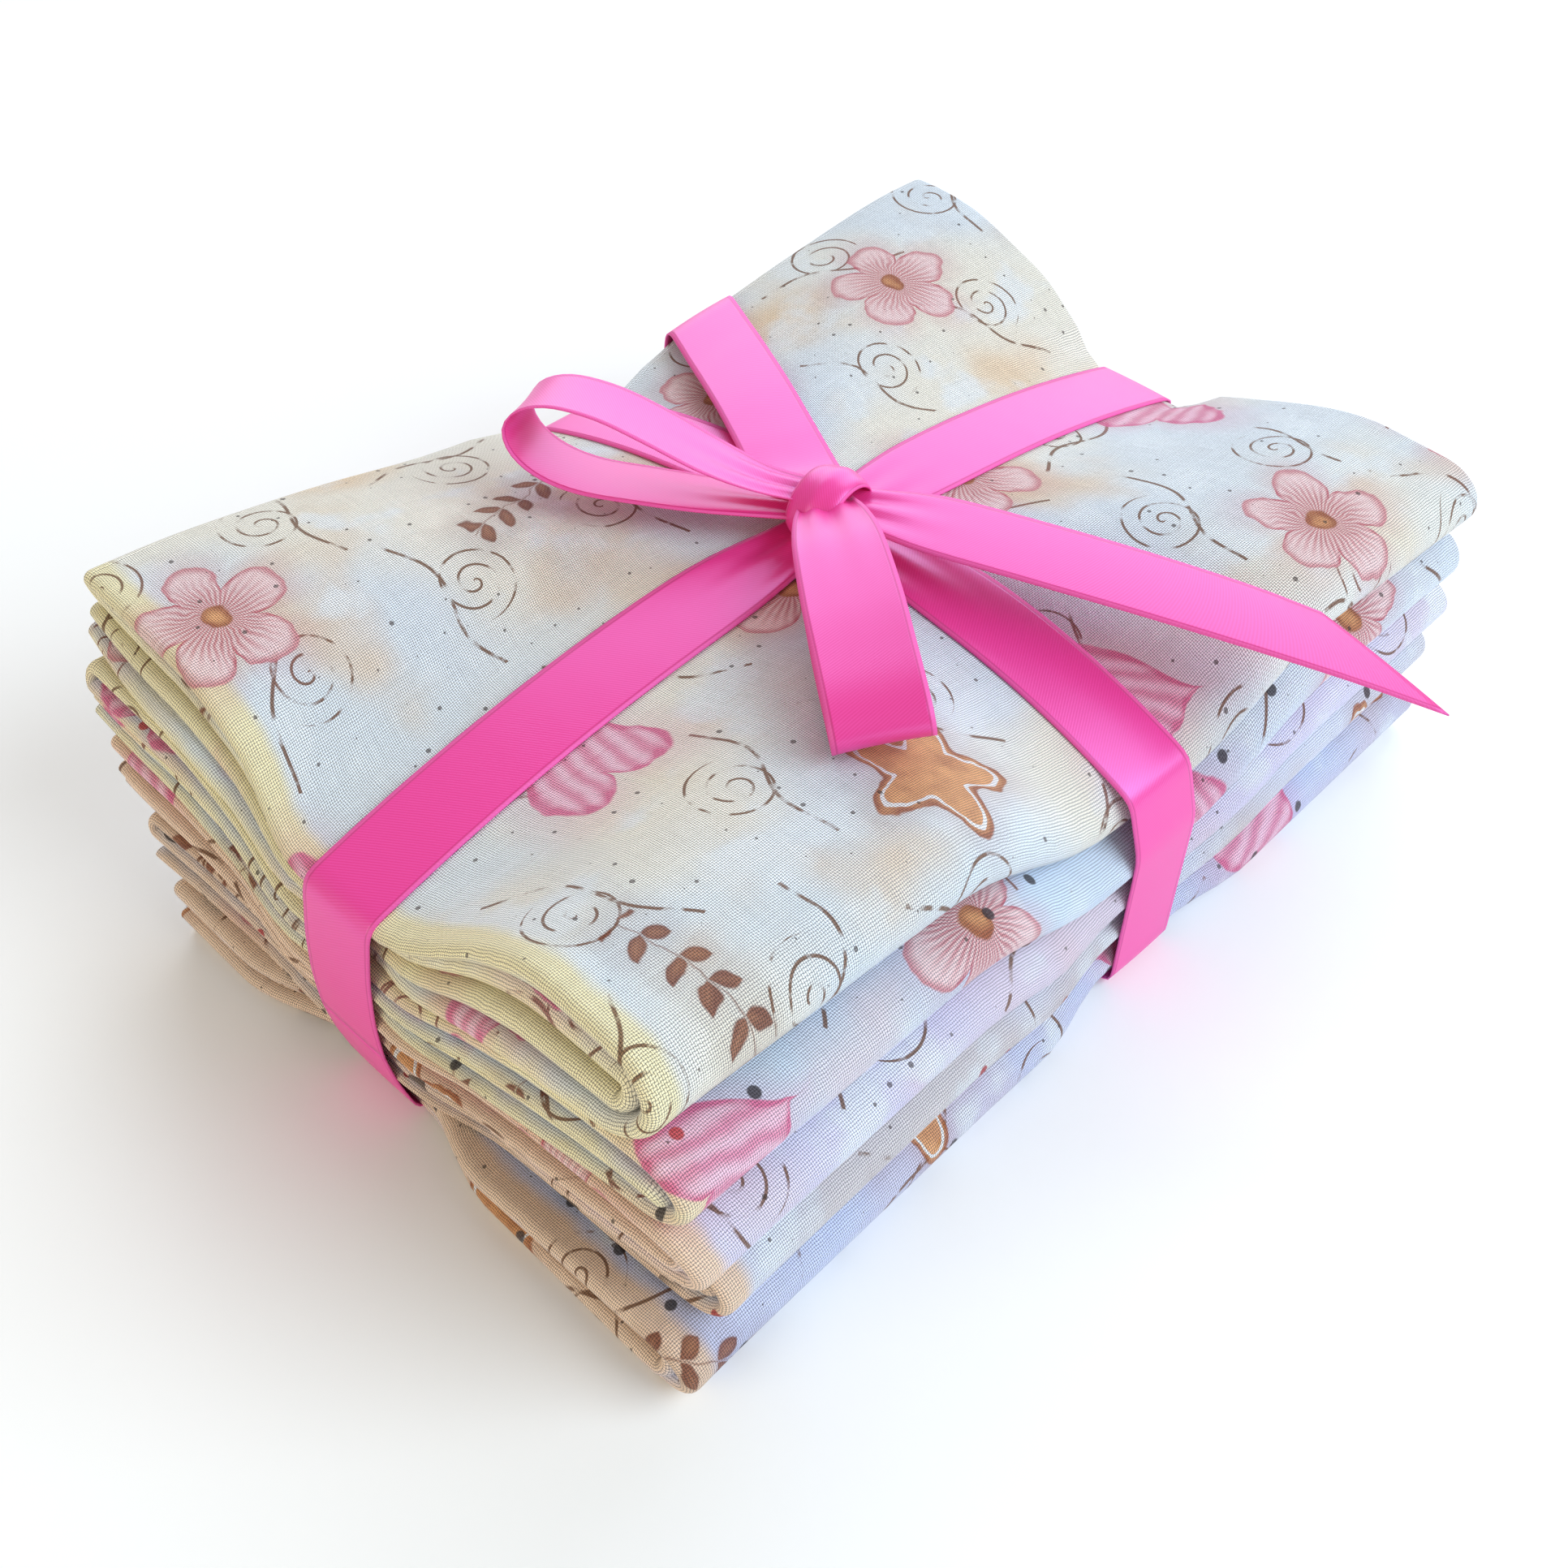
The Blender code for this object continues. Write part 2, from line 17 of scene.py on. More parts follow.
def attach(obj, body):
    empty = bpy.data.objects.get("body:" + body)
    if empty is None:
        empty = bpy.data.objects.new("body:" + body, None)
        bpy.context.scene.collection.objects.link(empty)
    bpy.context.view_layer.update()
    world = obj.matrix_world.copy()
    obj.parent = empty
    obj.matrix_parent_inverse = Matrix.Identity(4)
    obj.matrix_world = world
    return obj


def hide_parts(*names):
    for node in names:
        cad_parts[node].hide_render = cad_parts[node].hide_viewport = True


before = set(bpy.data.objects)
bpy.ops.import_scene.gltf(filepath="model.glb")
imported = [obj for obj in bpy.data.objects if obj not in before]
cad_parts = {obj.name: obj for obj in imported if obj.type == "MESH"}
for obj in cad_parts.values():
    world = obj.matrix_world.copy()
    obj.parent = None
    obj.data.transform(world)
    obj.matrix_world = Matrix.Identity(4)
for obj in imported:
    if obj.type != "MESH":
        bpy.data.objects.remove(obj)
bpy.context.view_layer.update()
MM = 0.001
print("nodes:", sorted(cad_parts))

# %% [markdown]
# ## The camera
#
# The picture was taken from above the near left corner with an ordinary lens. The place
# and the line of sight were worked out from the four corners of the top cloth, and the
# photographer held the camera about three degrees off level.

# %% The camera
CAMERA_PLACE = (-161.28, -148.97, 243.90)
CAMERA_SIGHT = (0.48022, 0.47692, -0.73616)
CAMERA_ROLL = 3.02  # degrees
SENSOR_WIDTH = 36.0
FOCAL_LENGTH = 40.87

camera = bpy.data.objects.new("camera", bpy.data.cameras.new("camera"))
camera.data.sensor_width = SENSOR_WIDTH
camera.data.lens = FOCAL_LENGTH
camera.data.clip_start = 0.01
turn = Vector(CAMERA_SIGHT).to_track_quat("-Z", "Y").to_matrix().to_4x4()
roll = Matrix.Rotation(math.radians(CAMERA_ROLL), 4, "Z")
camera.matrix_world = Matrix.Translation(Vector(CAMERA_PLACE) * MM) @ turn @ roll
bpy.context.scene.collection.objects.link(camera)
bpy.context.scene.camera = camera
print("camera", [round(value, 4) for value in camera.matrix_world.translation])

# %% [markdown]
# ## The stack before and after it is tied
#
# A tight ribbon changes the stack's shape more than anything else does. So the cloths are
# first folded flat, at the heights where they would lie loose, and then every point is
# moved by one rule: it keeps its share of the height between the pressed top and the
# pressed underside. Two cloths that lay clear of each other stay clear of each other.
#
# Each cloth's row has its loose height and the place of its ends and sides in plan, where
# zero is the near left corner of the stack. The waist is the line that the ribbon pulls the
# left end to. The other three edges of the stack have one such line each.

# %% Sizes of the folded cloths
LAYERS = 4
LAYER_GAP = 0.7
FRONT_TURN_DEPTH = 6.5
INNER_TURN_SLACK = 1.2
FREE_END_INSET = 1.5

COLUMNS = (
    "name", "height", "left_front", "left_back", "right_front", "right_back",
    "front_left", "front_right", "back_left", "back_right", "left_waist",
)
CLOTHS = [dict(zip(COLUMNS, row)) for row in (
    ("fat_quarter_1", 13.2, -1.9, 3.6, 186.4, 191.0, 3.5, 0.0, 137.0, 134.0, -2.6),
    ("fat_quarter_2", 11.4, -3.4, -1.2, 185.5, 187.0, -3.0, -0.5, 133.0, 134.0, -4.6),
    ("fat_quarter_3", 11.8, -3.7, -2.0, 189.0, 188.0, -6.5, -0.5, 128.0, 130.0, -5.4),
    ("fat_quarter_4", 10.4, -0.5, -5.0, 188.5, 186.0, -7.5, 0.3, 120.0, 125.0, -4.4),
    ("fat_quarter_5", 13.2, -7.6, -6.0, 187.0, 187.0, -8.0, -1.6, 114.0, 118.0, -2.2),
)]
LAYER_INSETS = {
    "fat_quarter_1": (0.8, 0.0, 1.6, 1.2),
    "fat_quarter_2": (0.4, 1.0, 0.0, 1.2),
    "fat_quarter_3": (1.2, 0.0, 1.6, 0.6),
    "fat_quarter_4": (0.0, 1.4, 0.6, 1.6),
    "fat_quarter_5": (0.8, 0.2, 1.4, 0.0),
}
LEFT_STAGGER = {  # how far each layer stands out on the left
    "fat_quarter_1": (4.6, -0.6, 1.4, 3.2),
    "fat_quarter_2": (2.4, 1.2, 1.6, 2.2),
    "fat_quarter_3": (2.6, 1.6, 2.0, 2.6),
    "fat_quarter_4": (0.6, 1.2, 1.2, 1.2),
    "fat_quarter_5": (0.0, 0.8, 0.6, 0.4),
}
STAGGER_SPAN = 70.0
STACK_HEIGHT = sum(cloth["height"] for cloth in CLOTHS)
print("loose stack", round(STACK_HEIGHT, 1), "mm high")

# %% What the ribbon presses
RIBBON_WIDTH = 15.0
RIBBON_X = 98.0  # the crossways turn lies on this line
RIBBON_Y = 68.0  # and the lengthways turn on this one
SKEW_X = -0.075
SKEW_Y = 0.022
CROSSWAYS_SLANT = 4.0  # to the right, from the top edge down
LENGTHWAYS_SLANT = -4.0
TROUGH_FLAT = 8.5
PINCH_REACH = 18.0
BOTTOM_REACH = 34.0
PRESS_REACH = 30.0
TOP_DIP_AT_KNOT = 1.5
TOP_REACH_AT_KNOT = 44.0
BOTTOM_LIFT_AT_MIDDLE = 1.5
# At each edge: how deep the top is pressed, how far along the edge that goes, how much of it
# is a sharp pinch, how far the underside is lifted, and the line that the side is pulled to.
EDGES = {
    "left": {"dip": 15.5, "reach": 44.0, "pinch": 0.0, "lift": 1.5},
    "right": {"dip": 19.5, "reach": 50.0, "pinch": 0.5, "lift": 6.0, "waist": 184.0},
    "front": {"dip": 16.0, "reach": 46.0, "pinch": 0.0, "lift": 1.0, "waist": -1.6},
    "back": {"dip": 14.5, "reach": 92.0, "pinch": 0.28, "lift": 5.0, "waist": 131.5},
}
DIP_EXPONENT = 2.2
WIDEST_SHARE = 1.1
FRONT_CROWN = 3.0  # the top is plumper behind its front edge
FRONT_CROWN_AT = 24.0
FRONT_CROWN_REACH = 46.0
BACK_LEFT_DROP = 0.5
FAR_CORNER = 2.4  # the far right corner reaches further out
FAR_CORNER_AT = 127.0
FAR_CORNER_REACH = 15.0
PUFF = 5.0  # the top cloth puffs up at the left end
PUFF_AT = 36.0
PUFF_REACH = 32.0
PUFF_DEPTH = 60.0
# Loose heights, and the share of the puff by which the plies there are pushed down.
PUFF_SHARES = ((0.0, 13.2, 23.6, 35.4, 44.0, 60.0), (0.0, 0.15, 0.45, 0.9, 1.0, 0.0))
CENTRE_X = 91.95
CENTRE_Y = 59.27


def mix(a, b, share):
    return a + (b - a) * share


def trough(distance, reach, pinch=0.0):
    """1 under the ribbon and 0 past the dip's reach. A pinch falls off much sooner."""
    wide = np.clip((np.abs(distance) - TROUGH_FLAT) / (reach - TROUGH_FLAT), 0.0, 1.0)
    near = np.clip((np.abs(distance) - TROUGH_FLAT) / (PINCH_REACH - TROUGH_FLAT), 0.0, 1.0)
    return mix(np.cos(wide * np.pi / 2) ** 2, np.cos(near * np.pi / 2) ** 2, pinch)


def along(value, knot, size, middle, low_edge, high_edge):
    share = np.minimum(np.abs(value - knot) / knot, WIDEST_SHARE) ** DIP_EXPONENT
    edge = np.where(value < knot, EDGES[low_edge][size], EDGES[high_edge][size])
    return mix(middle, edge, share)


def larger(a, b):
    """The larger of two sizes, with a soft change where they are alike."""
    return (a ** 6 + b ** 6) ** (1 / 6)


def top_level(x, y):
    lengthways = along(x, RIBBON_X, "dip", TOP_DIP_AT_KNOT, "left", "right")
    crossways = along(y, RIBBON_Y, "dip", TOP_DIP_AT_KNOT, "front", "back")
    reach_x = along(x, RIBBON_X, "reach", TOP_REACH_AT_KNOT, "left", "right")
    reach_y = along(y, RIBBON_Y, "reach", TOP_REACH_AT_KNOT, "front", "back")
    pinch_x = along(x, RIBBON_X, "pinch", 0.0, "left", "right")
    pinch_y = along(y, RIBBON_Y, "pinch", 0.0, "front", "back")
    dip = larger(
        lengthways * trough(y - RIBBON_Y, reach_x, pinch_x),
        crossways * trough(x - RIBBON_X, reach_y, pinch_y),
    )
    across = x / (2 * RIBBON_X)
    crown_share = np.minimum(np.abs(y - FRONT_CROWN_AT) / FRONT_CROWN_REACH, 1.0)
    crown = FRONT_CROWN * (1 - across) * np.cos(crown_share * np.pi / 2) ** 2
    drop = BACK_LEFT_DROP * (1 - across) * y / (2 * RIBBON_Y)
    return STACK_HEIGHT + crown - drop - dip + ripples(x, y)


def ripples(x, y):
    """Soft unevenness of the folded plies, none of it under the ribbon."""
    free = (1 - trough(x - RIBBON_X, 30.0)) * (1 - trough(y - RIBBON_Y, 30.0))
    wide = np.sin(x / 17.0 + y / 29.0 + 1.0) * np.sin(y / 15.0 - x / 41.0 + 0.4)
    fine = np.sin(x / 7.3 - y / 11.0) * np.sin(y / 8.1 + x / 19.0 + 2.0)
    return free * (0.45 * wide + 0.18 * fine)


def bottom_level(x, y):
    lengthways = along(x, RIBBON_X, "lift", BOTTOM_LIFT_AT_MIDDLE, "left", "right")
    crossways = along(y, RIBBON_Y, "lift", BOTTOM_LIFT_AT_MIDDLE, "front", "back")
    slant_x = CROSSWAYS_SLANT * np.clip(1 - y / RIBBON_Y, -1, 1)
    slant_y = LENGTHWAYS_SLANT * np.clip(1 - x / RIBBON_X, -1, 1)
    return larger(
        lengthways * trough(y - RIBBON_Y - slant_y, BOTTOM_REACH),
        crossways * trough(x - RIBBON_X - slant_x, BOTTOM_REACH),
    )


def puffed(x, y, height):
    """The top cloth puffs up near its front left corner and thins the cloths below it."""
    along_y = np.clip(np.abs(y - PUFF_AT) / PUFF_REACH, 0, 1)
    fading = np.exp(-(np.maximum(x, 0) / PUFF_DEPTH) ** 2)
    amount = PUFF * np.cos(along_y * np.pi / 2) ** 2 * fading
    return height - amount * np.interp(height, *PUFF_SHARES)


def level(x, y, height):
    height = puffed(x, y, height)
    share = (height - LAYER_GAP / 2) / (STACK_HEIGHT - LAYER_GAP)
    return mix(bottom_level(x, y), top_level(x, y), share)


def place(x, y, z):
    """From the stack's plan to the model's own frame, in metres."""
    return np.stack((
        (x + SKEW_X * (y - RIBBON_Y) - CENTRE_X) * MM,
        (y + SKEW_Y * (x - RIBBON_X) - CENTRE_Y) * MM,
        z * MM + 0 * x,
    ), axis=-1)


print("top at the knot", round(float(top_level(RIBBON_X, RIBBON_Y)), 1), "mm")

# %% [markdown]
# ## One cloth, folded
#
# A fat quarter measures 500 by 550 mm. Its long side is folded in three, which makes a
# strip three plies thick, and the strip is folded in half and in half again. A cloth
# simulation could crease it, but twelve plies in a tied stack would take hours to come to
# rest. A grid of points that follows both folds by rule is exact, and keeps its length.
#
# Each point has a place in the letter fold (across the bundle) and a place on the strip's
# way back and forth (front to back). Both are written as a share between two edges, plus
# an offset, so the same path fits every width of the stack.

# %% The strip's way through the stack
CLOTH_THICKNESS = 0.3
FOLDED_LENGTH = 187.0
FOLDED_DEPTH = 130.0
LEG_STEPS = 40  # points on each straight run
OUTER_TURN_STEPS = 18
INNER_TURN_STEPS = 12
FLAP_STEPS = 46
FOLD_STEPS = 10
LEFT_FOLD_DEPTH = 1.8
RIGHT_FOLD_DEPTH = 0.7
TUCKED_EDGE_INSET = 7.0  # raw edge inside the left fold
LAST_EDGE_INSET = 3.5  # raw edge at the right end
END_SWELL = 0.30  # the folds are plumper at the left end
END_SWELL_REACH = 6.0


def run(share, lead, trail, height, out, layer, steps=LEG_STEPS):
    """A straight run of the strip: rows of share, lead, trail, shift, height, out, layer."""
    shares = np.linspace(share[0], share[1], steps, endpoint=False)
    ends = 0.5 - 0.5 * np.cos(shares * np.pi)
    shares = mix(shares, ends, 0.35)
    return [(s, lead, trail, 0.0, height, 0.0, out, layer) for s in shares]


def bend(share, lead, trail, radii, middle, angles, sign, layers, steps):
    """A turn of the strip round a middle height."""
    rows = []
    for step in range(steps):
        angle = math.radians(mix(angles[0], angles[1], step / steps))
        out = np.array((math.cos(angle) / radii[0], math.sin(angle) / radii[1]))
        out *= sign / np.linalg.norm(out)
        rows.append((
            share, lead, trail, radii[0] * math.cos(angle),
            middle + radii[1] * math.sin(angle), out[0], out[1],
            mix(layers[0], layers[1], step / steps),
        ))
    return rows


def strip_path(base, pitch):
    """The strip's section, from the loose end below to the loose end inside."""
    half = (pitch - LAYER_GAP) / 2
    small = pitch / 2
    low, inner_low, inner_high, high = (base + pitch * (n + 0.5) for n in range(LAYERS))
    lead = half + FRONT_TURN_DEPTH
    inner_lead = 3 * half + INNER_TURN_SLACK + small
    trail = half + small
    centre = base + 2 * pitch
    rows = run((1, 0), lead, FREE_END_INSET, low, -1, 0)
    rows += bend(0, lead, trail, (FRONT_TURN_DEPTH, 1.5 * pitch), centre, (270, 90), 1,
                 (0, 1), OUTER_TURN_STEPS)
    rows += run((0, 1), lead, trail, high, 1, 1)
    rows += bend(1, lead, trail, (small, small), base + 3 * pitch, (90, -90), 1,
                 (1, 2), INNER_TURN_STEPS)
    rows += run((1, 0), inner_lead, trail, inner_high, -1, 2)
    rows += bend(0, inner_lead, trail, (small, small), centre, (90, 270), -1,
                 (2, 3), INNER_TURN_STEPS)
    rows += run((0, 1), inner_lead, FREE_END_INSET, inner_low, 1, 3)
    rows.append((1, inner_lead, FREE_END_INSET, 0.0, inner_low, 0.0, 1, 3))
    return np.array(rows).T


def letter_path():
    """The fold in three: rows of share, lead, trail, shift, ply (1 is the outer ply)."""
    left, right = LEFT_FOLD_DEPTH, RIGHT_FOLD_DEPTH
    flat = np.linspace(0, 1, FLAP_STEPS, endpoint=False)
    flat = mix(flat, 0.5 - 0.5 * np.cos(flat * np.pi), 0.6)
    rows = [(s, TUCKED_EDGE_INSET, right, 0.0, 0.0) for s in flat]
    for step in range(FOLD_STEPS):
        angle = math.radians(mix(-90, 90, step / FOLD_STEPS))
        rows.append((1, left, right, right * math.cos(angle), 0.5 + 0.5 * math.sin(angle)))
    rows += [(1 - s, left, right, 0.0, 1.0) for s in flat]
    for step in range(FOLD_STEPS):
        angle = math.radians(mix(90, 270, step / FOLD_STEPS))
        rows.append((0, left, right, left * math.cos(angle), math.sin(angle)))
    rows += [(s, left, LAST_EDGE_INSET, 0.0, -1.0) for s in flat]
    rows.append((1, left, LAST_EDGE_INSET, 0.0, -1.0))
    return np.array(rows).T


print("grid", letter_path().shape[1], "by", strip_path(0.0, 3.0).shape[1], "points")

# %% The grid of a folded cloth
def pressed(end, waist, distance):
    """An end or side of a folded cloth, moved to its waist where the ribbon lies."""
    return mix(end, waist, trough(distance, PRESS_REACH))


def depth_in_stack(cloth):
    """How far down the stack a cloth lies, nearly 1 for the one at the bottom."""
    return (CLOTHS.index(cloth) + 1.5) / (len(CLOTHS) + 1.5)


def cloth_ends(cloth, y):
    share = y / (2 * RIBBON_Y)
    left = mix(cloth["left_front"], cloth["left_back"], share)
    right = mix(cloth["right_front"], cloth["right_back"], share)
    slant = LENGTHWAYS_SLANT * depth_in_stack(cloth)
    left = pressed(left, cloth["left_waist"], y - RIBBON_Y - slant)
    waist = np.minimum(right, EDGES["right"]["waist"])
    return left, pressed(right, waist, y - RIBBON_Y + slant)


def cloth_sides(cloth, x):
    share = x / (2 * RIBBON_X)
    front = mix(cloth["front_left"], cloth["front_right"], share)
    back = mix(cloth["back_left"], cloth["back_right"], share)
    slant = CROSSWAYS_SLANT * depth_in_stack(cloth)
    front = pressed(front, np.maximum(front, EDGES["front"]["waist"]), x - RIBBON_X - slant)
    back = pressed(back, np.minimum(back, EDGES["back"]["waist"]), x - RIBBON_X + slant)
    return front, back


def by_layer(amounts, layer):
    amounts = np.array(amounts)
    number = np.clip(layer.astype(int), 0, LAYERS - 2)
    share = layer - number
    return mix(amounts[number], amounts[number + 1], share * share * (3 - 2 * share))


def fold_cloth(cloth, base, seed):
    """Every point of the folded sheet, and its place on the flat cloth."""
    pitch = cloth["height"] / LAYERS
    ply = (pitch - LAYER_GAP - CLOTH_THICKNESS) / 2
    across = letter_path()[:, :, None]
    down = strip_path(base, pitch)[:, None, :]
    w, lead_x, trail_x, shift_x, side = across
    r, lead_y, trail_y, shift_y, height, out_y, out_z, layer = down
    nominal_x = mix(cloth["left_front"], cloth["right_front"], w)
    front, back = cloth_sides(cloth, nominal_x)
    y = mix(front + lead_y, back - trail_y, r) + shift_y
    left, right = cloth_ends(cloth, y)
    waves = 0.3 * np.sin(y / (9 + 2 * layer) + seed + 2 * layer)
    waves += 0.25 * np.sin(y / 23 + 1.7 * seed + layer)
    from_ribbon = np.abs(y - RIBBON_Y - LENGTHWAYS_SLANT * depth_in_stack(cloth))
    from_ribbon = np.clip((from_ribbon - RIBBON_WIDTH / 2) / STAGGER_SPAN, 0, 1)
    stagger = by_layer(LEFT_STAGGER[cloth["name"]], layer) * np.sin(from_ribbon * np.pi) ** 0.9
    left = left + by_layer(LAYER_INSETS[cloth["name"]], layer) - stagger + waves * 0.7
    right = right - by_layer(LAYER_INSETS[cloth["name"]], LAYERS - 1 - layer) - np.abs(waves)
    right = right + FAR_CORNER * np.exp(-((y - FAR_CORNER_AT) / FAR_CORNER_REACH) ** 2)
    x = mix(left + lead_x, right - trail_x, w) + shift_x
    swell = 1 + END_SWELL * np.exp(-np.maximum(x - left, 0) / END_SWELL_REACH)
    push = side * ply * swell
    y = y + push * out_y
    z = np.maximum(level(x, y, height + push * out_z), CLOTH_THICKNESS / 2)
    return place(x, y, z), length_along(across, down, base, pitch)


def length_along(across, down, base, pitch):
    """Lengths on the flat cloth, measured once along the middle of each way."""
    w, lead_x, trail_x, shift_x, side = across[:, :, 0]
    x = mix(lead_x, FOLDED_LENGTH - trail_x, w) + shift_x
    u = np.concatenate(([0], np.cumsum(np.hypot(np.diff(x), np.diff(side * pitch / 3)))))
    r, lead_y, trail_y, shift_y, height = down[:5, 0, :]
    y = mix(lead_y, FOLDED_DEPTH - trail_y, r) + shift_y
    v = np.concatenate(([0], np.cumsum(np.hypot(np.diff(y), np.diff(height)))))
    return u, v


# %% Thin sheets
def grid_quads(rows, columns, start=0):
    """Faces of a grid of points, whose first point has the number start."""
    number = start + np.arange(rows * columns).reshape(rows, columns)
    return np.stack((
        number[:-1, :-1], number[1:, :-1], number[1:, 1:], number[:-1, 1:],
    ), axis=-1).reshape(-1, 4)


def flat_grid(u, v):
    """The flat lengths of every point of a grid."""
    return np.stack(np.broadcast_arrays(u, v), axis=-1).reshape(-1, 2)


def sheet_piece(name, corners, quads, flat, thickness):
    """A closed sheet from corners in metres, with its flat lengths in metres as UVs."""
    mesh = bpy.data.meshes.new(name)
    mesh.from_pydata(corners.tolist(), [], quads.tolist())
    layer = mesh.uv_layers.new(name="flat")
    layer.uv.foreach_set("vector", (flat * MM)[quads.reshape(-1)].reshape(-1))
    mesh.shade_smooth()
    piece = bpy.data.objects.new(name, mesh)
    bpy.context.scene.collection.objects.link(piece)
    wall = piece.modifiers.new("thickness", "SOLIDIFY")
    wall.thickness = thickness * MM
    wall.offset = 0.0
    return piece


cloths = []
base = STACK_HEIGHT
for number, cloth in enumerate(CLOTHS):
    base -= cloth["height"]
    points, (u, v) = fold_cloth(cloth, base, 1.3 * number)
    quads = grid_quads(*points.shape[:2])
    flat = flat_grid(u[:, None], v[None, :])
    name = "cloth_" + str(number + 1)
    piece = sheet_piece(name, points.reshape(-1, 3), quads, flat, CLOTH_THICKNESS)
    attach(piece, "root")
    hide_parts(cloth["name"])
    below = ["cloth_" + str(number + 2)] if number + 1 < len(CLOTHS) else []
    cloths.append(piece)
    print(piece.name, "measures", round(u[-1]), "by", round(v[-1]), "mm flat")

# %% [markdown]
# ## The ribbon round the stack
#
# A tight ribbon is straight wherever it doesn't bend over something, so its way round the
# stack is the convex outline of what lies inside it. The outline is found from points on
# the pressed stack, moved outwards a little, and smoothed so that the satin bends over an
# edge and doesn't crease. Each turn is then a thin strip along that line.

# %% The ribbon's way round
RIBBON_THICKNESS = 0.28
RIBBON_CLEARANCE = 0.35
CROSSING_STEP = 0.4  # one strand lies over the other
PATH_STEP = 1.5
OUTLINE_STEPS = 24  # points read on each cloth
CORNER_STEPS = 6  # points on each round corner of the path


def turn_of(a, b, c):
    return (b[0] - a[0]) * (c[1] - a[1]) - (b[1] - a[1]) * (c[0] - a[0])


def half_hull(points):
    kept = []
    for point in points:
        while len(kept) > 1 and turn_of(kept[-2], kept[-1], point) <= 0:
            kept.pop()
        kept.append(point)
    return kept[:-1]


def wound_outline(lengthways):
    """Convex section of the pressed stack under one turn of the ribbon."""
    find_ends = cloth_ends if lengthways else cloth_sides
    full_slant = LENGTHWAYS_SLANT if lengthways else CROSSWAYS_SLANT
    own_line, crossing = (RIBBON_Y, RIBBON_X) if lengthways else (RIBBON_X, RIBBON_Y)
    points = []
    for line in (-TROUGH_FLAT, 0.0, TROUGH_FLAT):
        base = STACK_HEIGHT
        for cloth in CLOTHS:
            base -= cloth["height"]
            slant = full_slant * depth_in_stack(cloth)
            ends = find_ends(cloth, own_line + line + slant)
            for value in np.linspace(float(ends[0]), float(ends[1]), OUTLINE_STEPS):
                side = own_line + (line + slant * np.clip(1 - value / crossing, -1, 1))
                x, y = (value, side) if lengthways else (side, value)
                for height in (base + LAYER_GAP / 2, base + cloth["height"] - LAYER_GAP / 2):
                    points.append((float(value), float(level(x, y, height))))
    points = sorted(set(points))
    return np.array(half_hull(points) + half_hull(points[::-1]))


def round_path(outline, distance):
    """The outline moved outwards, with points at even steps and round corners."""
    path = []
    for number in range(len(outline)):
        before, point = outline[number - 1], outline[number]
        after = outline[(number + 1) % len(outline)]
        first = math.atan2(before[0] - point[0], point[1] - before[1])
        swing = (math.atan2(point[0] - after[0], after[1] - point[1]) - first) % (2 * math.pi)
        for step in range(CORNER_STEPS + 1):
            angle = first + swing * step / CORNER_STEPS
            path.append(point + distance * np.array((math.cos(angle), math.sin(angle))))
    path = np.array(path + path[:1])
    length = np.concatenate(([0], np.cumsum(np.hypot(*np.diff(path, axis=0).T))))
    even = np.linspace(0, length[-1], int(length[-1] / PATH_STEP), endpoint=False)
    return np.stack([np.interp(even, length, column) for column in path.T], axis=1)


def strip(centre, across, out, width, camber=0.0, pleat=0.0, steps=14):
    """Points of a strip of ribbon. Pleats take up the width where it is gathered."""
    t = np.linspace(-1, 1, steps + 1)[None, :, None]
    width = np.broadcast_to(np.asarray(width, float), len(centre))[:, None, None]
    camber = np.broadcast_to(np.asarray(camber, float), len(centre))[:, None, None]
    pleat = np.broadcast_to(np.asarray(pleat, float), len(centre))[:, None, None]
    points = centre[:, None, :] + across[:, None, :] * t * width / 2
    lift = camber * (1 - t * t) + pleat * np.cos(t * 2.5 * math.pi)
    return points + out[:, None, :] * lift


def strip_lengths(centre):
    steps = np.linalg.norm(np.diff(centre, axis=0), axis=1)
    return np.concatenate(([0], np.cumsum(steps)))


ribbon_strips = []


def add_strip(name, points, centre):
    """Keep a strip with its flat lengths: across the ribbon, and along it."""
    u = np.linspace(-RIBBON_WIDTH / 2, RIBBON_WIDTH / 2, points.shape[1])[None, :]
    v = strip_lengths(centre)[:, None]
    ribbon_strips.append((points, u, v))
    print(name, round(float(v[-1, 0])), "mm of ribbon")


# %% Both turns
KNOT_X = 95.0
KNOT_Y = 66.5
KNOT_REACH = 15.0  # the strands narrow towards the knot
KNOT_NARROWING = 5.5
TURN_CAMBER = 0.12
TURN_PLEAT = 0.45


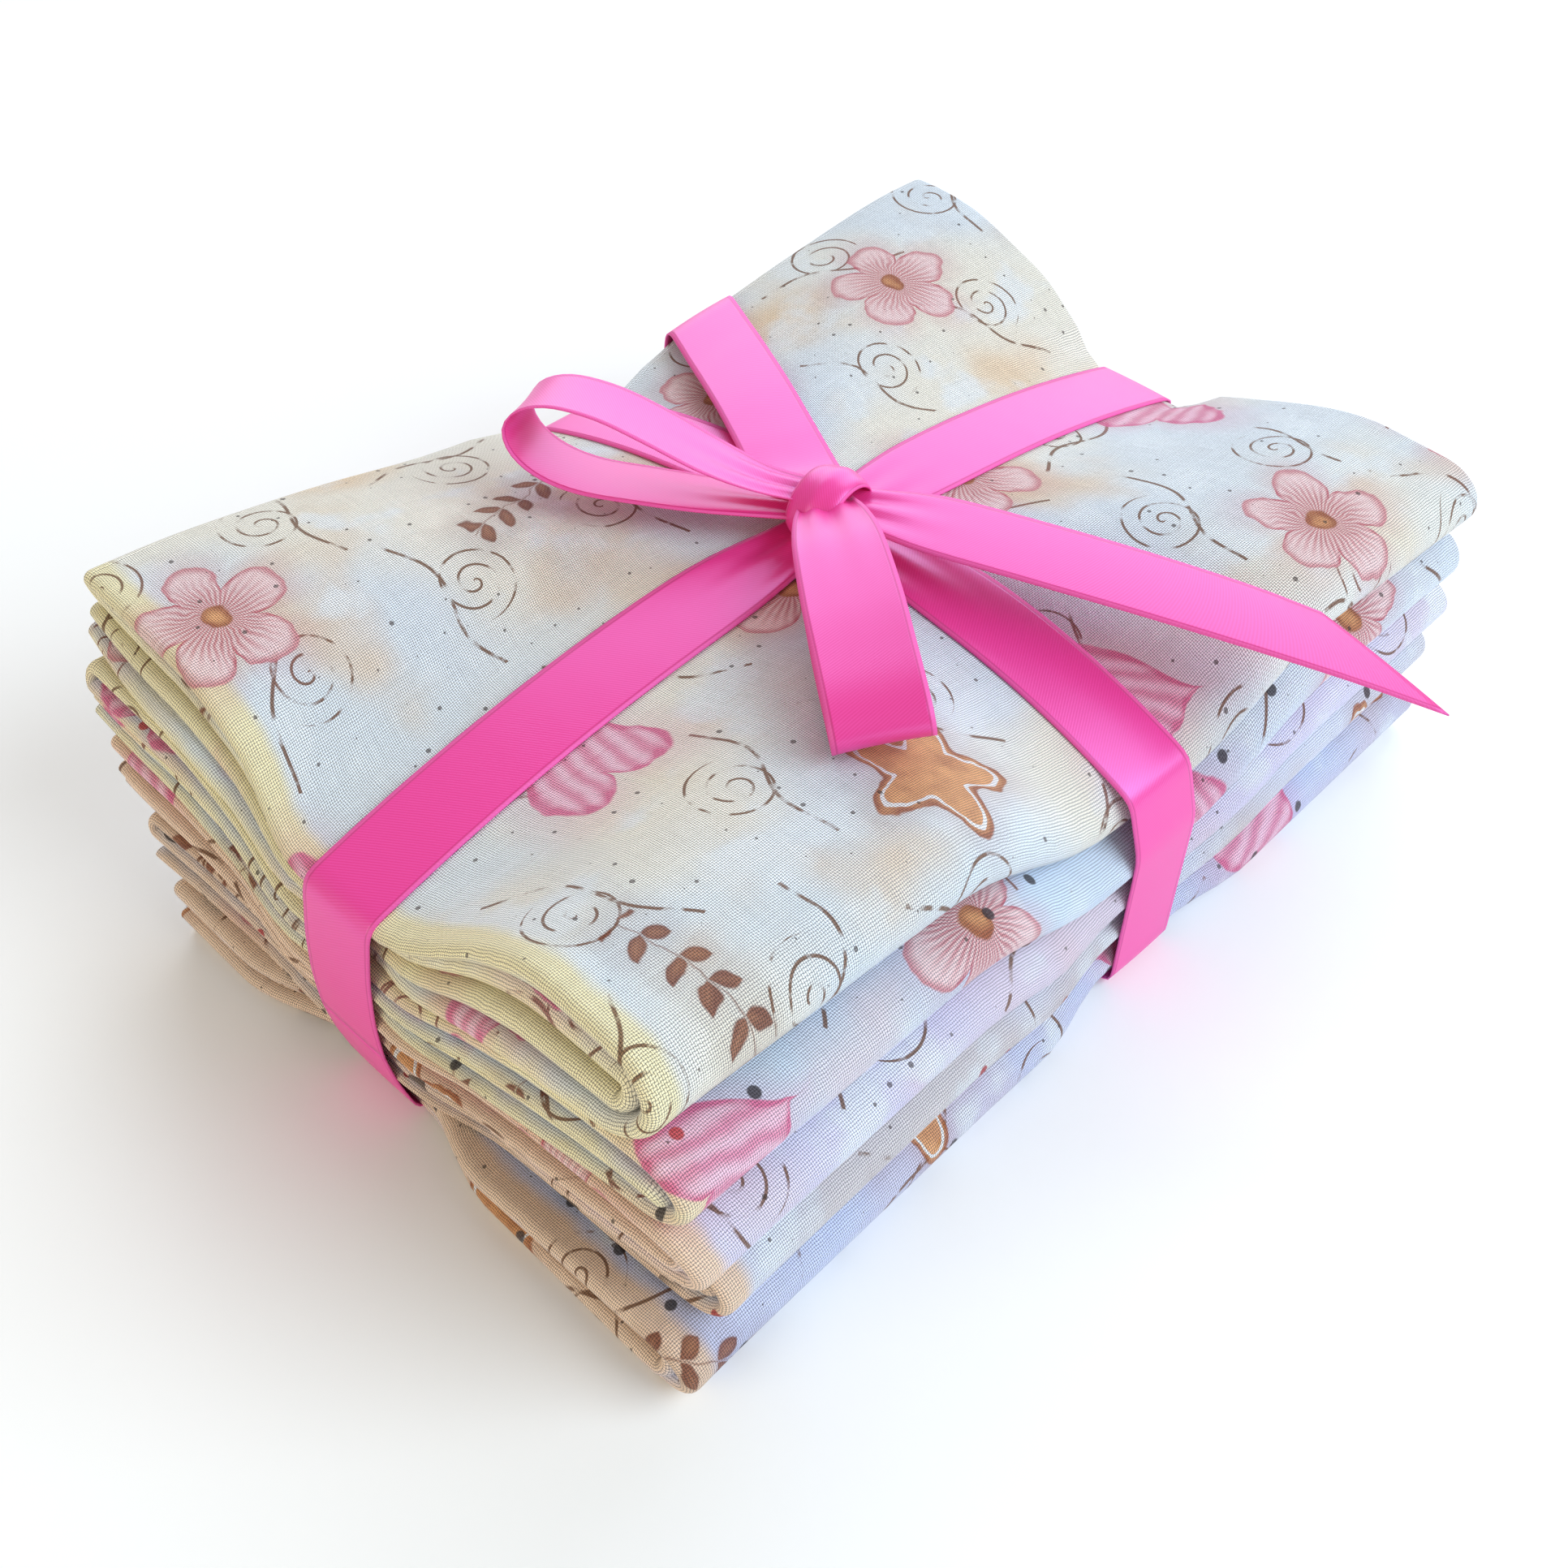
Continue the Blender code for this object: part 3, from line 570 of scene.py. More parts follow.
def wind(lengthways):
    """One closed turn of the ribbon, in the stack's plan."""
    outline = wound_outline(lengthways)
    path = round_path(outline, RIBBON_CLEARANCE)
    for smoothing in range(2):
        path = (np.roll(path, 1, axis=0) + path * 2 + np.roll(path, -1, axis=0)) / 4
    path = np.concatenate((path, path[:1]))
    value, z = path.T
    tangent = np.gradient(path, axis=0)
    tangent /= np.linalg.norm(tangent, axis=1, keepdims=True)
    outwards = np.stack((tangent[:, 1], -tangent[:, 0]), axis=1)
    knot = KNOT_X if lengthways else KNOT_Y
    near = np.exp(-((value - knot) / KNOT_REACH) ** 2)
    if not lengthways:
        value = value + outwards[:, 0] * CROSSING_STEP * near
        z = z + outwards[:, 1] * CROSSING_STEP * near
    gathered = near * (z > STACK_HEIGHT / 2)
    width = RIBBON_WIDTH - KNOT_NARROWING * gathered
    low = 1 - np.clip(z / STACK_HEIGHT, 0, 1)
    toward = np.clip((knot - value) / knot, -1, 1)
    zero = np.zeros_like(value)
    if lengthways:
        centre = np.stack((value, RIBBON_Y + LENGTHWAYS_SLANT * low * toward, z), axis=1)
        across = np.stack((zero, zero - 1, zero), axis=1)
        out = np.stack((outwards[:, 0], zero, outwards[:, 1]), axis=1)
    else:
        centre = np.stack((RIBBON_X + CROSSWAYS_SLANT * low * toward, value, z), axis=1)
        across = np.stack((zero + 1, zero, zero), axis=1)
        out = np.stack((zero, outwards[:, 0], outwards[:, 1]), axis=1)
    points = strip(centre, across, out, width, TURN_CAMBER, TURN_PLEAT * gathered)
    add_strip("lengthways turn" if lengthways else "crossways turn", points, centre)


wind(True)
wind(False)

# %% [markdown]
# ## The bow
#
# The bow has two loops, two tails and a knot. Each loop and tail leaves the knot on its
# own heading and is drawn from a few rows of reach, rise and width, joined by a smooth
# curve. Inside the knot the satin is gathered, so the strips are pleated there.
# The knot itself is one turn of the ribbon across the bow, bulging over what it holds.

# %% Loops and tails
LOOP_CAMBER = 0.25
LOOP_PLEAT = 1.3
LEFT_LOOP_HEADING = 125.0
LEFT_LOOP_TILT = 14.0
LEFT_LOOP = (
    (1.0, 2.5, 9.0), (8.0, 2.2, 11.0), (20.0, 1.8, 14.0), (30.0, 1.7, 15.0),
    (40.0, 1.8, 15.0), (46.8, 3.5, 15.0), (51.2, 6.7, 15.0), (52.6, 10.7, 15.0),
    (50.4, 14.0, 15.0), (45.2, 15.6, 15.0), (37.6, 14.8, 15.0), (29.5, 12.2, 15.0),
    (20.0, 8.6, 14.0), (11.0, 6.2, 11.0), (2.0, 5.5, 9.0),
)
FRONT_LOOP_HEADING = 235.0
FRONT_LOOP_TILT = 10.0
FRONT_LOOP = (
    (1.0, 2.2, 9.0), (8.0, 2.8, 11.0), (20.0, 3.8, 14.0), (34.0, 4.3, 15.0),
    (47.0, 3.6, 15.0), (52.4, 3.8, 15.0), (54.6, 5.2, 15.0), (55.0, 7.4, 15.0),
    (53.4, 9.6, 15.0), (49.0, 11.0, 15.0), (42.0, 11.7, 15.0), (31.0, 12.2, 15.0),
    (18.0, 11.6, 14.0), (9.0, 9.2, 12.0), (2.0, 6.5, 9.0),
)
RIGHT_TAIL_HEADING = -64.6
RIGHT_TAIL = (
    (1.0, 4.5, 9.0), (8.0, 5.5, 11.0), (18.0, 6.0, 14.5), (35.0, 6.0, 15.0),
    (55.0, 5.6, 15.0), (75.0, 4.6, 15.0), (88.7, 3.2, 15.0),
)
RIGHT_TAIL_SLANT = 10.7
RIGHT_TAIL_SLANT_SPAN = (40.0, 88.7)
BACK_TAIL_HEADING = 65.5
BACK_TAIL_START = ((1.0, 2.2, 9.0), (7.0, 2.6, 12.0))
BACK_TAIL_LYING = (16.0, 28.0, 40.0, 52.0, 60.0, 67.0)
BACK_TAIL_LIFT = 0.8
BACK_TAIL_SLANT = 4.7  # it bends along the stack's back edge
BACK_TAIL_SLANT_SPAN = (20.0, 57.0)
BACK_TAIL_OVER = ((71.8, -0.8), (74.6, -3.0), (76.0, -8.0), (76.4, -16.0), (76.4, -32.0))


def smooth_rows(rows, step=PATH_STEP):
    """A curve through the rows, at even steps along its length."""
    rows = np.array(rows, float)
    ends = np.concatenate((2 * rows[:1] - rows[1:2], rows, 2 * rows[-1:] - rows[-2:-1]))
    path = []
    for number in range(1, len(ends) - 2):
        a, b, c, d = ends[number - 1:number + 3]
        for t in np.linspace(0, 1, 12, endpoint=False):
            path.append(0.5 * (2 * b + (c - a) * t + (2 * a - 5 * b + 4 * c - d) * t * t
                               + (3 * b - a - 3 * c + d) * t ** 3))
    path = np.array(path + [rows[-1]])
    length = strip_lengths(path[:, :2])
    even = np.linspace(0, length[-1], int(length[-1] / step) + 1)
    return np.stack([np.interp(even, length, column) for column in path.T], axis=1)


def lay(name, heading, rows, tilt=0.0, slant=0.0, slant_span=(0.0, 1.0)):
    """A loop or tail from the knot outwards. A tilted one leans over to its right.

    A slant pushes the right edge ahead of the left one, for a slanting cut or bend."""
    reach, rise, width = smooth_rows(rows).T
    ahead = np.array((math.cos(math.radians(heading)), math.sin(math.radians(heading)), 0))
    level_side = np.array((ahead[1], -ahead[0], 0))
    up = np.array((0, 0, 1))
    lean = math.radians(tilt)
    side = level_side * math.cos(lean) - up * math.sin(lean)
    up = level_side * math.sin(lean) + up * math.cos(lean)
    centre = np.array((KNOT_X, KNOT_Y, STACK_HEIGHT)) + reach[:, None] * ahead
    centre = centre + rise[:, None] * up
    tangent = np.gradient(centre, axis=0)
    tangent /= np.linalg.norm(tangent, axis=1, keepdims=True)
    across = np.broadcast_to(side, centre.shape)
    out = np.cross(across, tangent)
    gathered = 1 - width / RIBBON_WIDTH
    points = strip(centre, across, out, width, LOOP_CAMBER, LOOP_PLEAT * gathered)
    share = np.interp(reach, slant_span, (0, 1))[:, None, None]
    edge = np.linspace(-1, 1, points.shape[1])[None, :, None]
    points = points + ahead * slant * edge * share
    add_strip(name, points, centre)


def back_tail_rows():
    heading = math.radians(BACK_TAIL_HEADING)
    rows = list(BACK_TAIL_START)
    for reach in BACK_TAIL_LYING:
        heights = []
        for side in (-RIBBON_WIDTH / 2, 0.0, RIBBON_WIDTH / 2):
            x = KNOT_X + reach * math.cos(heading) + side * math.sin(heading)
            y = KNOT_Y + reach * math.sin(heading) - side * math.cos(heading)
            x = x - SKEW_X * (y - RIBBON_Y)
            y = y - SKEW_Y * (x - RIBBON_X)
            heights.append(float(top_level(x, y)))
        rows.append((reach, max(heights) - STACK_HEIGHT + BACK_TAIL_LIFT, RIBBON_WIDTH))
    edge = rows[-1][1]
    return rows + [(reach, edge + fall, RIBBON_WIDTH) for reach, fall in BACK_TAIL_OVER]


loop_strips_from = len(ribbon_strips)
lay("left loop", LEFT_LOOP_HEADING, LEFT_LOOP, LEFT_LOOP_TILT)
lay("front loop", FRONT_LOOP_HEADING, FRONT_LOOP, FRONT_LOOP_TILT)
lay("right tail", RIGHT_TAIL_HEADING, RIGHT_TAIL, 0.0, RIGHT_TAIL_SLANT, RIGHT_TAIL_SLANT_SPAN)
lay("back tail", BACK_TAIL_HEADING, back_tail_rows(), 0.0, BACK_TAIL_SLANT, BACK_TAIL_SLANT_SPAN)

# %% The knot
KNOT_HALF_LENGTH = 6.0
KNOT_HALF_HEIGHT = 5.2
KNOT_MIDDLE = 3.4  # above the loose stack's height
KNOT_BAND = 8.4
KNOT_SWING = 10.0  # degrees, its slant in plan
KNOT_CAMBER = 1.3
KNOT_PLEAT = 0.08


def tie_knot():
    angles = np.linspace(0, 2 * math.pi, 49)
    swing = math.radians(KNOT_SWING)
    ahead = np.array((math.cos(swing), math.sin(swing), 0))
    side = np.array((-math.sin(swing), math.cos(swing), 0))
    up = np.array((0, 0, 1))
    centre = np.array((KNOT_X, KNOT_Y, STACK_HEIGHT + KNOT_MIDDLE))
    x = KNOT_HALF_LENGTH * np.cos(angles)[:, None]
    z = KNOT_HALF_HEIGHT * np.sin(angles)[:, None]
    path = centre + ahead * x + up * z
    out = ahead * np.cos(angles)[:, None] * KNOT_HALF_HEIGHT
    out = out + up * np.sin(angles)[:, None] * KNOT_HALF_LENGTH
    out /= np.linalg.norm(out, axis=1, keepdims=True)
    across = np.broadcast_to(side, path.shape)
    points = strip(path, across, out, KNOT_BAND, KNOT_CAMBER, KNOT_PLEAT, steps=20)
    add_strip("knot", points, path)


tie_knot()

# %% The whole ribbon as one piece
def join_strips(name):
    """All strips as one mesh, each with its own flat lengths."""
    corners, quads, flat = [], [], []
    start = 0
    for number, (points, u, v) in enumerate(ribbon_strips):
        rows, columns = points.shape[:2]
        if number < loop_strips_from:
            points = place(*np.moveaxis(points, -1, 0))
        else:
            points = (points - np.array((CENTRE_X, CENTRE_Y, 0))) * MM
        quads.append(grid_quads(rows, columns, start))
        flat.append(flat_grid(u, v))
        corners.append(points.reshape(-1, 3))
        start += rows * columns
    corners, quads, flat = (np.concatenate(parts) for parts in (corners, quads, flat))
    return sheet_piece(name, corners, quads, flat, RIBBON_THICKNESS)


ribbon = join_strips("satin_ribbon")
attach(ribbon, "root")
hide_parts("ribbon")

# %% [markdown]
# ## Sums in a material
#
# A printed cloth needs a lot of sums, and each of them is a node. The class below lets a
# sum be written as Python writes it: `1 - mask * 0.5` adds the two Math nodes itself.
# Colours keep to Mix nodes, because a Math node would turn them grey.

# %% A finish and its numbers
class Number:
    """A number or colour that varies over a surface."""

    def __init__(self, finish, socket):
        self.finish = finish
        self.socket = socket

    def __add__(self, other):
        return self.finish.math("ADD", self, other)

    def __sub__(self, other):
        return self.finish.math("SUBTRACT", self, other)

    def __rsub__(self, other):
        return self.finish.math("SUBTRACT", other, self)

    def __mul__(self, other):
        return self.finish.math("MULTIPLY", self, other)

    def __truediv__(self, other):
        return self.finish.math("DIVIDE", self, other)

    def __rtruediv__(self, other):
        return self.finish.math("DIVIDE", other, self)

    def __pow__(self, other):
        return self.finish.math("POWER", self, other)

    def __lt__(self, other):
        return self.finish.math("LESS_THAN", self, other)

    def __gt__(self, other):
        return self.finish.math("GREATER_THAN", self, other)

    __radd__ = __add__
    __rmul__ = __mul__


def paint(red, green, blue):
    """A colour as a paint box gives it, 0 to 255, turned into light."""
    parts = [value / 255 for value in (red, green, blue)]
    light = [p / 12.92 if p <= 0.04045 else ((p + 0.055) / 1.055) ** 2.4 for p in parts]
    return (*light, 1.0)


class Finish:
    """One material. Its sums and its other nodes all come from the methods here."""

    def __init__(self, name, roughness):
        self.material = bpy.data.materials.new(name)
        self.material.use_nodes = True
        self.tree = self.material.node_tree
        self.shader = self.tree.nodes["Principled BSDF"]
        self.shader.inputs["Roughness"].default_value = roughness
        self.shader.inputs["Metallic"].default_value = 0.0

    def node(self, kind, settings=(), values=(), output=0):
        made = self.tree.nodes.new(kind)
        for name, setting in dict(settings).items():
            setattr(made, name, setting)
        for socket, value in dict(values).items():
            if isinstance(value, Number):
                self.tree.links.new(value.socket, made.inputs[socket])
            else:
                made.inputs[socket].default_value = value
        return Number(self, made.outputs[output])

    def math(self, operation, *values):
        return self.node("ShaderNodeMath", {"operation": operation}, enumerate(values))

    def ramp(self, value, low, high):
        """0 below low, 1 above high, and a smooth change between them."""
        return self.node("ShaderNodeMapRange", {"interpolation_type": "SMOOTHSTEP"},
                         {0: value, 1: low, 2: high, 3: 0.0, 4: 1.0})

    def blend(self, mask, below, above, way="MIX"):
        """One colour over another, or multiplied with it, as much as the mask says."""
        return self.node("ShaderNodeMix", {"data_type": "RGBA", "blend_type": way},
                         {0: mask, 6: below, 7: above}, output=2)

    def point(self, x, y, z=0.0):
        return self.node("ShaderNodeCombineXYZ", (), {0: x, 1: y, 2: z})

    def noise(self, x, y, size, seed=0.0, detail=1.0):
        """Soft noise about 0.5, whose patches are as large as size says."""
        where = self.point(x / size, y / size, seed)
        return self.node("ShaderNodeTexNoise", {"noise_dimensions": "3D"},
                         {"Vector": where, "Scale": 1.0, "Detail": detail})

    def flat_lengths(self):
        """Where a point lies on the flat cloth, across and along, in millimetres."""
        where = self.node("ShaderNodeUVMap", {"uv_map": "flat"})
        split = self.tree.nodes.new("ShaderNodeSeparateXYZ")
        self.tree.links.new(where.socket, split.inputs[0])
        return Number(self, split.outputs[0]) / MM, Number(self, split.outputs[1]) / MM

    def show(self, socket, value):
        self.tree.links.new(value.socket, self.shader.inputs[socket])

    def bump(self, height, depth):
        """Relief of a height that runs from 0 to 1, as deep as depth in millimetres."""
        self.show("Normal", self.node("ShaderNodeBump", (), {
            "Strength": 1.0, "Distance": depth * MM, "Height": height,
        }))


print("paint box:", [round(part, 3) for part in paint(235, 70, 140)])

# %% [markdown]
# ## Printed cotton
#
# Quilting cotton is a plain weave: each thread goes over one and under the next. The print
# lies on it in soft patches, as if it was done with watercolour. The pattern here is laid
# out on the flat cloth, so it goes round the folds as the real print does.
#
# The motifs repeat as printed cloth does: the cloth is divided into cells, each cell turns
# and shifts its own drawing by chance, and a few plain shapes take turns: a star, a flower,
# a heart and a sprig of leaves. Pen curls, specks and, on some cloths, berries and short
# bars lie between them.

# %% The weave
THREAD_PITCH = 0.37  # of quilting cotton, about 68 to the inch


def weave(finish, u, v, pitch=THREAD_PITCH):
    """Height of a plain weave from 0 to 1, and a streaky tone of its uneven threads."""
    a, b = u / pitch, v / pitch
    warp = finish.math("COSINE", a * (2 * math.pi)) * 0.5 + 0.5
    weft = finish.math("COSINE", b * (2 * math.pi)) * 0.5 + 0.5
    over = finish.math("COSINE", a * math.pi) * finish.math("COSINE", b * math.pi)
    over = finish.math("SIGN", over) * 0.25
    up = warp ** 0.5 * (over + 0.7)
    down = weft ** 0.5 * (0.7 - over)
    height = finish.math("MAXIMUM", up, down)
    streaks = finish.noise(a * 0.9, b * 0.045, 1.0, 3.0)
    streaks = streaks + finish.noise(a * 0.045, b * 0.9, 1.0, 8.0)
    return height, streaks * 0.5


print(round(25.4 / THREAD_PITCH), "threads to the inch")

# %% The motifs
CELL = 47.0  # one drawing in each cell of the print
WOBBLE = 1.6  # of the brush
LEFT_FOLD_AT = 366.0  # painted warm light on this fold, at the shaded left end


def cells(finish, u, v, size, seed):
    """Each cell's own axes, turned and shifted by chance, and its chance from 0 to 1."""
    row = finish.math("FLOOR", v / size)
    shifted = u / size + finish.math("FRACT", row * 0.5)
    column = finish.math("FLOOR", shifted)
    where = finish.point(column, row, seed)
    chance = finish.node("ShaderNodeTexWhiteNoise", {"noise_dimensions": "3D"}, {"Vector": where})
    again = finish.node("ShaderNodeTexWhiteNoise", {"noise_dimensions": "3D"},
                        {"Vector": finish.point(column, row, seed + 5.0)})
    x = (shifted - column - 0.5 + (again - 0.5) * 0.2) * size
    y = (v / size - row - 0.5 + (chance - 0.5) * 0.2) * size
    angle = again * (2 * math.pi)
    turn_cos, turn_sin = finish.math("COSINE", angle), finish.math("SINE", angle)
    return x * turn_cos + y * turn_sin, y * turn_cos - x * turn_sin, chance


def polar(finish, x, y):
    return finish.math("SQRT", x * x + y * y), finish.math("ARCTAN2", y, x)


def star(finish, x, y):
    """Depth inside the outline of a plump five-pointed star, in millimetres."""
    radius, angle = polar(finish, x, y)
    points = finish.math("COSINE", angle * 5)
    return (points * 2.6 + 10.0) - radius


def flower(finish, x, y):
    radius, angle = polar(finish, x, y)
    petals = finish.math("ABSOLUTE", finish.math("COSINE", angle * 2.5))
    return (petals ** 0.6 * 6.5 + 6.5) - radius


def heart(finish, x, y):
    """Classic heart: a circle pushed up on both sides of the middle."""
    across = finish.math("ABSOLUTE", x / 11.0)
    upward = y / 9.0 - finish.math("SQRT", across)
    return (1 - finish.math("SQRT", across * across + upward * upward)) * 9.0


def sprig(finish, x, y):
    """A stem with pairs of leaves on it."""
    away = finish.math("ABSOLUTE", y)
    step = finish.math("FRACT", x / 5.5) * 5.5
    slope = (step - away) * 0.7
    reach = (step + away) * 0.7
    leaf = (1 - ((reach - 2.6) / 2.6) ** 2) * 1.5 - finish.math("ABSOLUTE", slope)
    stem = 0.32 - away
    inside = 14.0 - finish.math("ABSOLUTE", x)
    return finish.math("MINIMUM", finish.math("MAXIMUM", leaf, stem), inside)


print("one drawing to every", CELL, "mm")

# %% Curls and spots
CURL_CELL = 31.0
CURL_PITCH = 2.9  # from one winding to the next
CURL_RADIUS = 7.2
TAIL_REACH = 15.0
SPECK_CELL = 5.0
BERRY_CELL = 12.5


def curls(finish, x, y, seed):
    """1 on the line of a pen curl, and on the wavy line beside it."""
    x, y, unused = cells(finish, x + 11.0, y + 19.0, CURL_CELL, seed)
    radius, angle = polar(finish, x, y)
    wind_out = finish.math("FRACT", radius / CURL_PITCH - angle / (2 * math.pi))
    line = 0.10 - finish.math("ABSOLUTE", wind_out - 0.5)
    line = finish.ramp(line, 0.0, 0.05) * (radius < CURL_RADIUS)
    tail = finish.math("ABSOLUTE", y - finish.math("SINE", x / 3.6) * 1.5 - 5.0)
    tail = (1 - finish.ramp(tail, 0.18, 0.42)) * (finish.math("ABSOLUTE", x) < TAIL_REACH)
    return finish.math("MAXIMUM", line, tail)


def spots(finish, x, y, size, seed, randomness=1.0):
    """How far the nearest of many scattered spots is, and that spot's own chance."""
    kind = ("ShaderNodeTexVoronoi", {"voronoi_dimensions": "2D"})
    where = {"Vector": finish.point(x / size, y / size, seed), "Scale": 1.0,
             "Randomness": randomness}
    return finish.node(*kind, where), finish.node(*kind, where, output=1) + 0.0


print("one curl to every", CURL_CELL, "mm")

# %% The print in layers
def washes(finish, x, y, seed, palette):
    """The ground, with soft patches of three other paints in it."""
    clouds = finish.ramp(finish.noise(x, y, 52.0, seed, 2.0), 0.40, 0.62)
    blush = finish.ramp(finish.noise(x, y, 34.0, seed + 3.0, 2.0), 0.52, 0.70)
    frost = finish.ramp(finish.noise(x, y, 15.0, seed + 6.0, 3.0), 0.52, 0.66)
    colour = finish.blend(clouds, palette["ground"], palette["cloud"])
    colour = finish.blend(blush * 0.75, colour, palette["blush"])
    return finish.blend(frost * 0.6, colour, palette["frost"])


def draw(finish, colour, depth, pale, dark, grain, turn_taken, strength=0.9):
    """Paint one motif over a colour: pale inside, darker at its edge, as washes dry."""
    halo = finish.ramp(depth, -7.0, 2.0) * turn_taken
    colour = finish.blend(halo * 0.22, colour, dark)
    inside = finish.ramp(depth, 0.0, 0.5) * turn_taken
    edge = 1 - finish.ramp(depth, 0.3, 2.2)
    pigment = finish.math("MINIMUM", edge * 0.75 + grain, 1.0)
    return finish.blend(inside * strength, colour, finish.blend(pigment, pale, dark))


def drawings(finish, colour, x, y, seed, palette, grain):
    """A star, flower, heart or sprig in each cell of the print."""
    brush = (finish.noise(x, y, 6.0, seed + 1.0, 2.0) - 0.5) * (2 * WOBBLE)
    a, b, chance = cells(finish, x, y, CELL, seed + 10.0)
    a, b = a + brush, b - brush
    radius, angle = polar(finish, a, b)
    veins = finish.math("COSINE", angle * 40 + radius * 0.25) * 0.5 + 0.5
    veins = veins * finish.ramp(radius, 12.0, 4.0)
    stripes = finish.math("COSINE", a * 1.9 + b * 0.6) * 0.5 + 0.5
    icing = finish.math("ABSOLUTE", star(finish, a, b) - 2.0) < 0.4
    turn = [(chance > low) * (chance < low + 0.25) for low in (0.0, 0.25, 0.5, 0.75)]
    colour = draw(finish, colour, star(finish, a, b), *palette["star"], grain, turn[0])
    colour = finish.blend(icing * turn[0] * 0.8, colour, palette["frost"])
    colour = draw(finish, colour, flower(finish, a, b), *palette["flower"], veins * 0.8, turn[1])
    colour = draw(finish, colour, 2.8 - radius, *palette["star"], grain, turn[1])
    colour = draw(finish, colour, heart(finish, a, b), *palette["heart"], stripes * 0.7, turn[2])
    return draw(finish, colour, sprig(finish, a, b), *palette["sprig"], grain, turn[3])


def spatter(finish, colour, x, y, seed, palette):
    """Specks on every cloth, and berries and bars on those that have paints for them."""
    near, which = spots(finish, x, y, SPECK_CELL, seed)
    size = finish.ramp(which, 0.45, 1.0) * 0.085
    colour = finish.blend((near < size) * 0.75, colour, palette["speck"])
    if "berry" in palette:
        near, which = spots(finish, x, y, BERRY_CELL, seed, 0.7)
        berries = (1 - finish.ramp(near, 0.06, 0.085)) * (which > 0.3)
        paints = finish.blend(which > 0.62, *palette["berry"])
        colour = finish.blend(berries * 0.9, colour, paints)
    if "bars" in palette:
        bars = finish.math("FRACT", x / 3.3 + finish.noise(x, y, 5.0, seed) * 1.3)
        rows = finish.math("FRACT", y / 21.0 + 0.35)
        groups = finish.ramp(finish.noise(x, y, 16.0, 2.0), 0.42, 0.5)
        bars = (bars < 0.42) * (rows < 0.24) * groups
        colour = finish.blend(bars * 0.85, colour, palette["bars"])
    return colour


# %% The printed cotton
def printed_cotton(name, palette, seed, shift):
    """One design of printed cotton in its own colours."""
    finish = Finish(name, 0.92)
    u, v = finish.flat_lengths()
    threads_u = u + (finish.noise(u, v, 3.0, 2.0) - 0.5) * 0.5
    threads_v = v + (finish.noise(u, v, 3.0, 6.0) - 0.5) * 0.5
    height, streaks = weave(finish, threads_u, threads_v)
    x, y = u + shift[0], v + shift[1]
    colour = washes(finish, x, y, seed, palette)
    # Painted warm light: the left fold lies in shade from the cool light, so it is painted a warm
    # cream here.
    from_painted_warm_fold = finish.math("ABSOLUTE", u - LEFT_FOLD_AT) + finish.noise(x, y, 6.0, 4.0) * 2.0
    colour = finish.blend(1 - finish.ramp(from_painted_warm_fold, 2.6, 5.4), colour, palette["fold"])
    grain = finish.ramp(finish.noise(x, y, 4.5, seed + 2.0, 3.0), 0.35, 0.75) * 0.6
    ink = curls(finish, x, y, seed + 20.0) * finish.ramp(grain, 0.0, 0.25)
    colour = finish.blend(ink * 0.9, colour, palette["ink"])
    colour = drawings(finish, colour, x, y, seed, palette, grain)
    colour = spatter(finish, colour, x, y, seed, palette)
    # Painted shade: the gaps between the threads lie low in the weave and are darkened with
    # grey-blue paint.
    painted_gap_shade = 1 - finish.ramp(height, 0.36, 0.74)
    tone = streaks * 0.44 + 0.93
    colour = finish.blend(1.0, colour, finish.point(tone, tone, tone), "MULTIPLY")
    colour = finish.blend(painted_gap_shade * 0.8, colour, palette["gap_shade"], "MULTIPLY")
    finish.show("Base Color", colour)
    finish.bump(height * 0.8 + streaks * 0.4, 0.16)
    finish.shader.inputs["Sheen Weight"].default_value = 0.1
    return finish.material


# The fold paint, here and in the prints below, is painted warm light on each cloth's shaded left
# fold.
SHARED = {
    "frost": paint(240, 248, 255), "ink": paint(120, 78, 48), "speck": paint(66, 50, 46),
    # The grey-blue paint for the gaps between the threads is painted shade.
    "gap_shade": paint(100, 106, 120), "fold": paint(246, 236, 196),
    "star": (paint(232, 168, 108), paint(160, 84, 40)),
    "flower": (paint(248, 216, 218), paint(198, 84, 104)),
    "heart": (paint(250, 200, 222), paint(224, 104, 152)),
    "sprig": (paint(176, 116, 78), paint(124, 60, 34)),
}
PRINTS = (
    ("cotton_cloud_print", 4.0, (22.0, 22.0), {
        **SHARED, "ground": paint(228, 237, 246), "cloud": paint(244, 239, 226),
        "blush": paint(238, 206, 168),
    }),
    ("cotton_berry_print", 31.0, (20.0, 31.0), {
        **SHARED, "ground": paint(218, 234, 254), "cloud": paint(224, 230, 242),
        "blush": paint(230, 214, 224), "berry": (paint(52, 44, 50), paint(204, 62, 66)),
    }),
    ("cotton_lilac_print", 52.0, (5.0, 12.0), {
        **SHARED, "ground": paint(226, 222, 250), "cloud": paint(230, 216, 230),
        "blush": paint(232, 206, 216), "fold": paint(244, 214, 190),
    }),
    ("cotton_stripe_print", 77.0, (14.0, 2.0), {
        **SHARED, "ground": paint(222, 226, 244), "cloud": paint(218, 212, 216),
        "blush": paint(212, 192, 186), "fold": paint(240, 212, 188),
        "berry": (paint(178, 38, 50), paint(60, 40, 44)), "bars": paint(72, 58, 54),
    }),
    ("cotton_cream_print", 93.0, (8.0, 27.0), {
        **SHARED, "ground": paint(208, 218, 252), "cloud": paint(210, 212, 238),
        "blush": paint(216, 208, 228), "fold": paint(244, 216, 192),
        "berry": (paint(46, 42, 48), paint(70, 62, 66)),
    }),
)
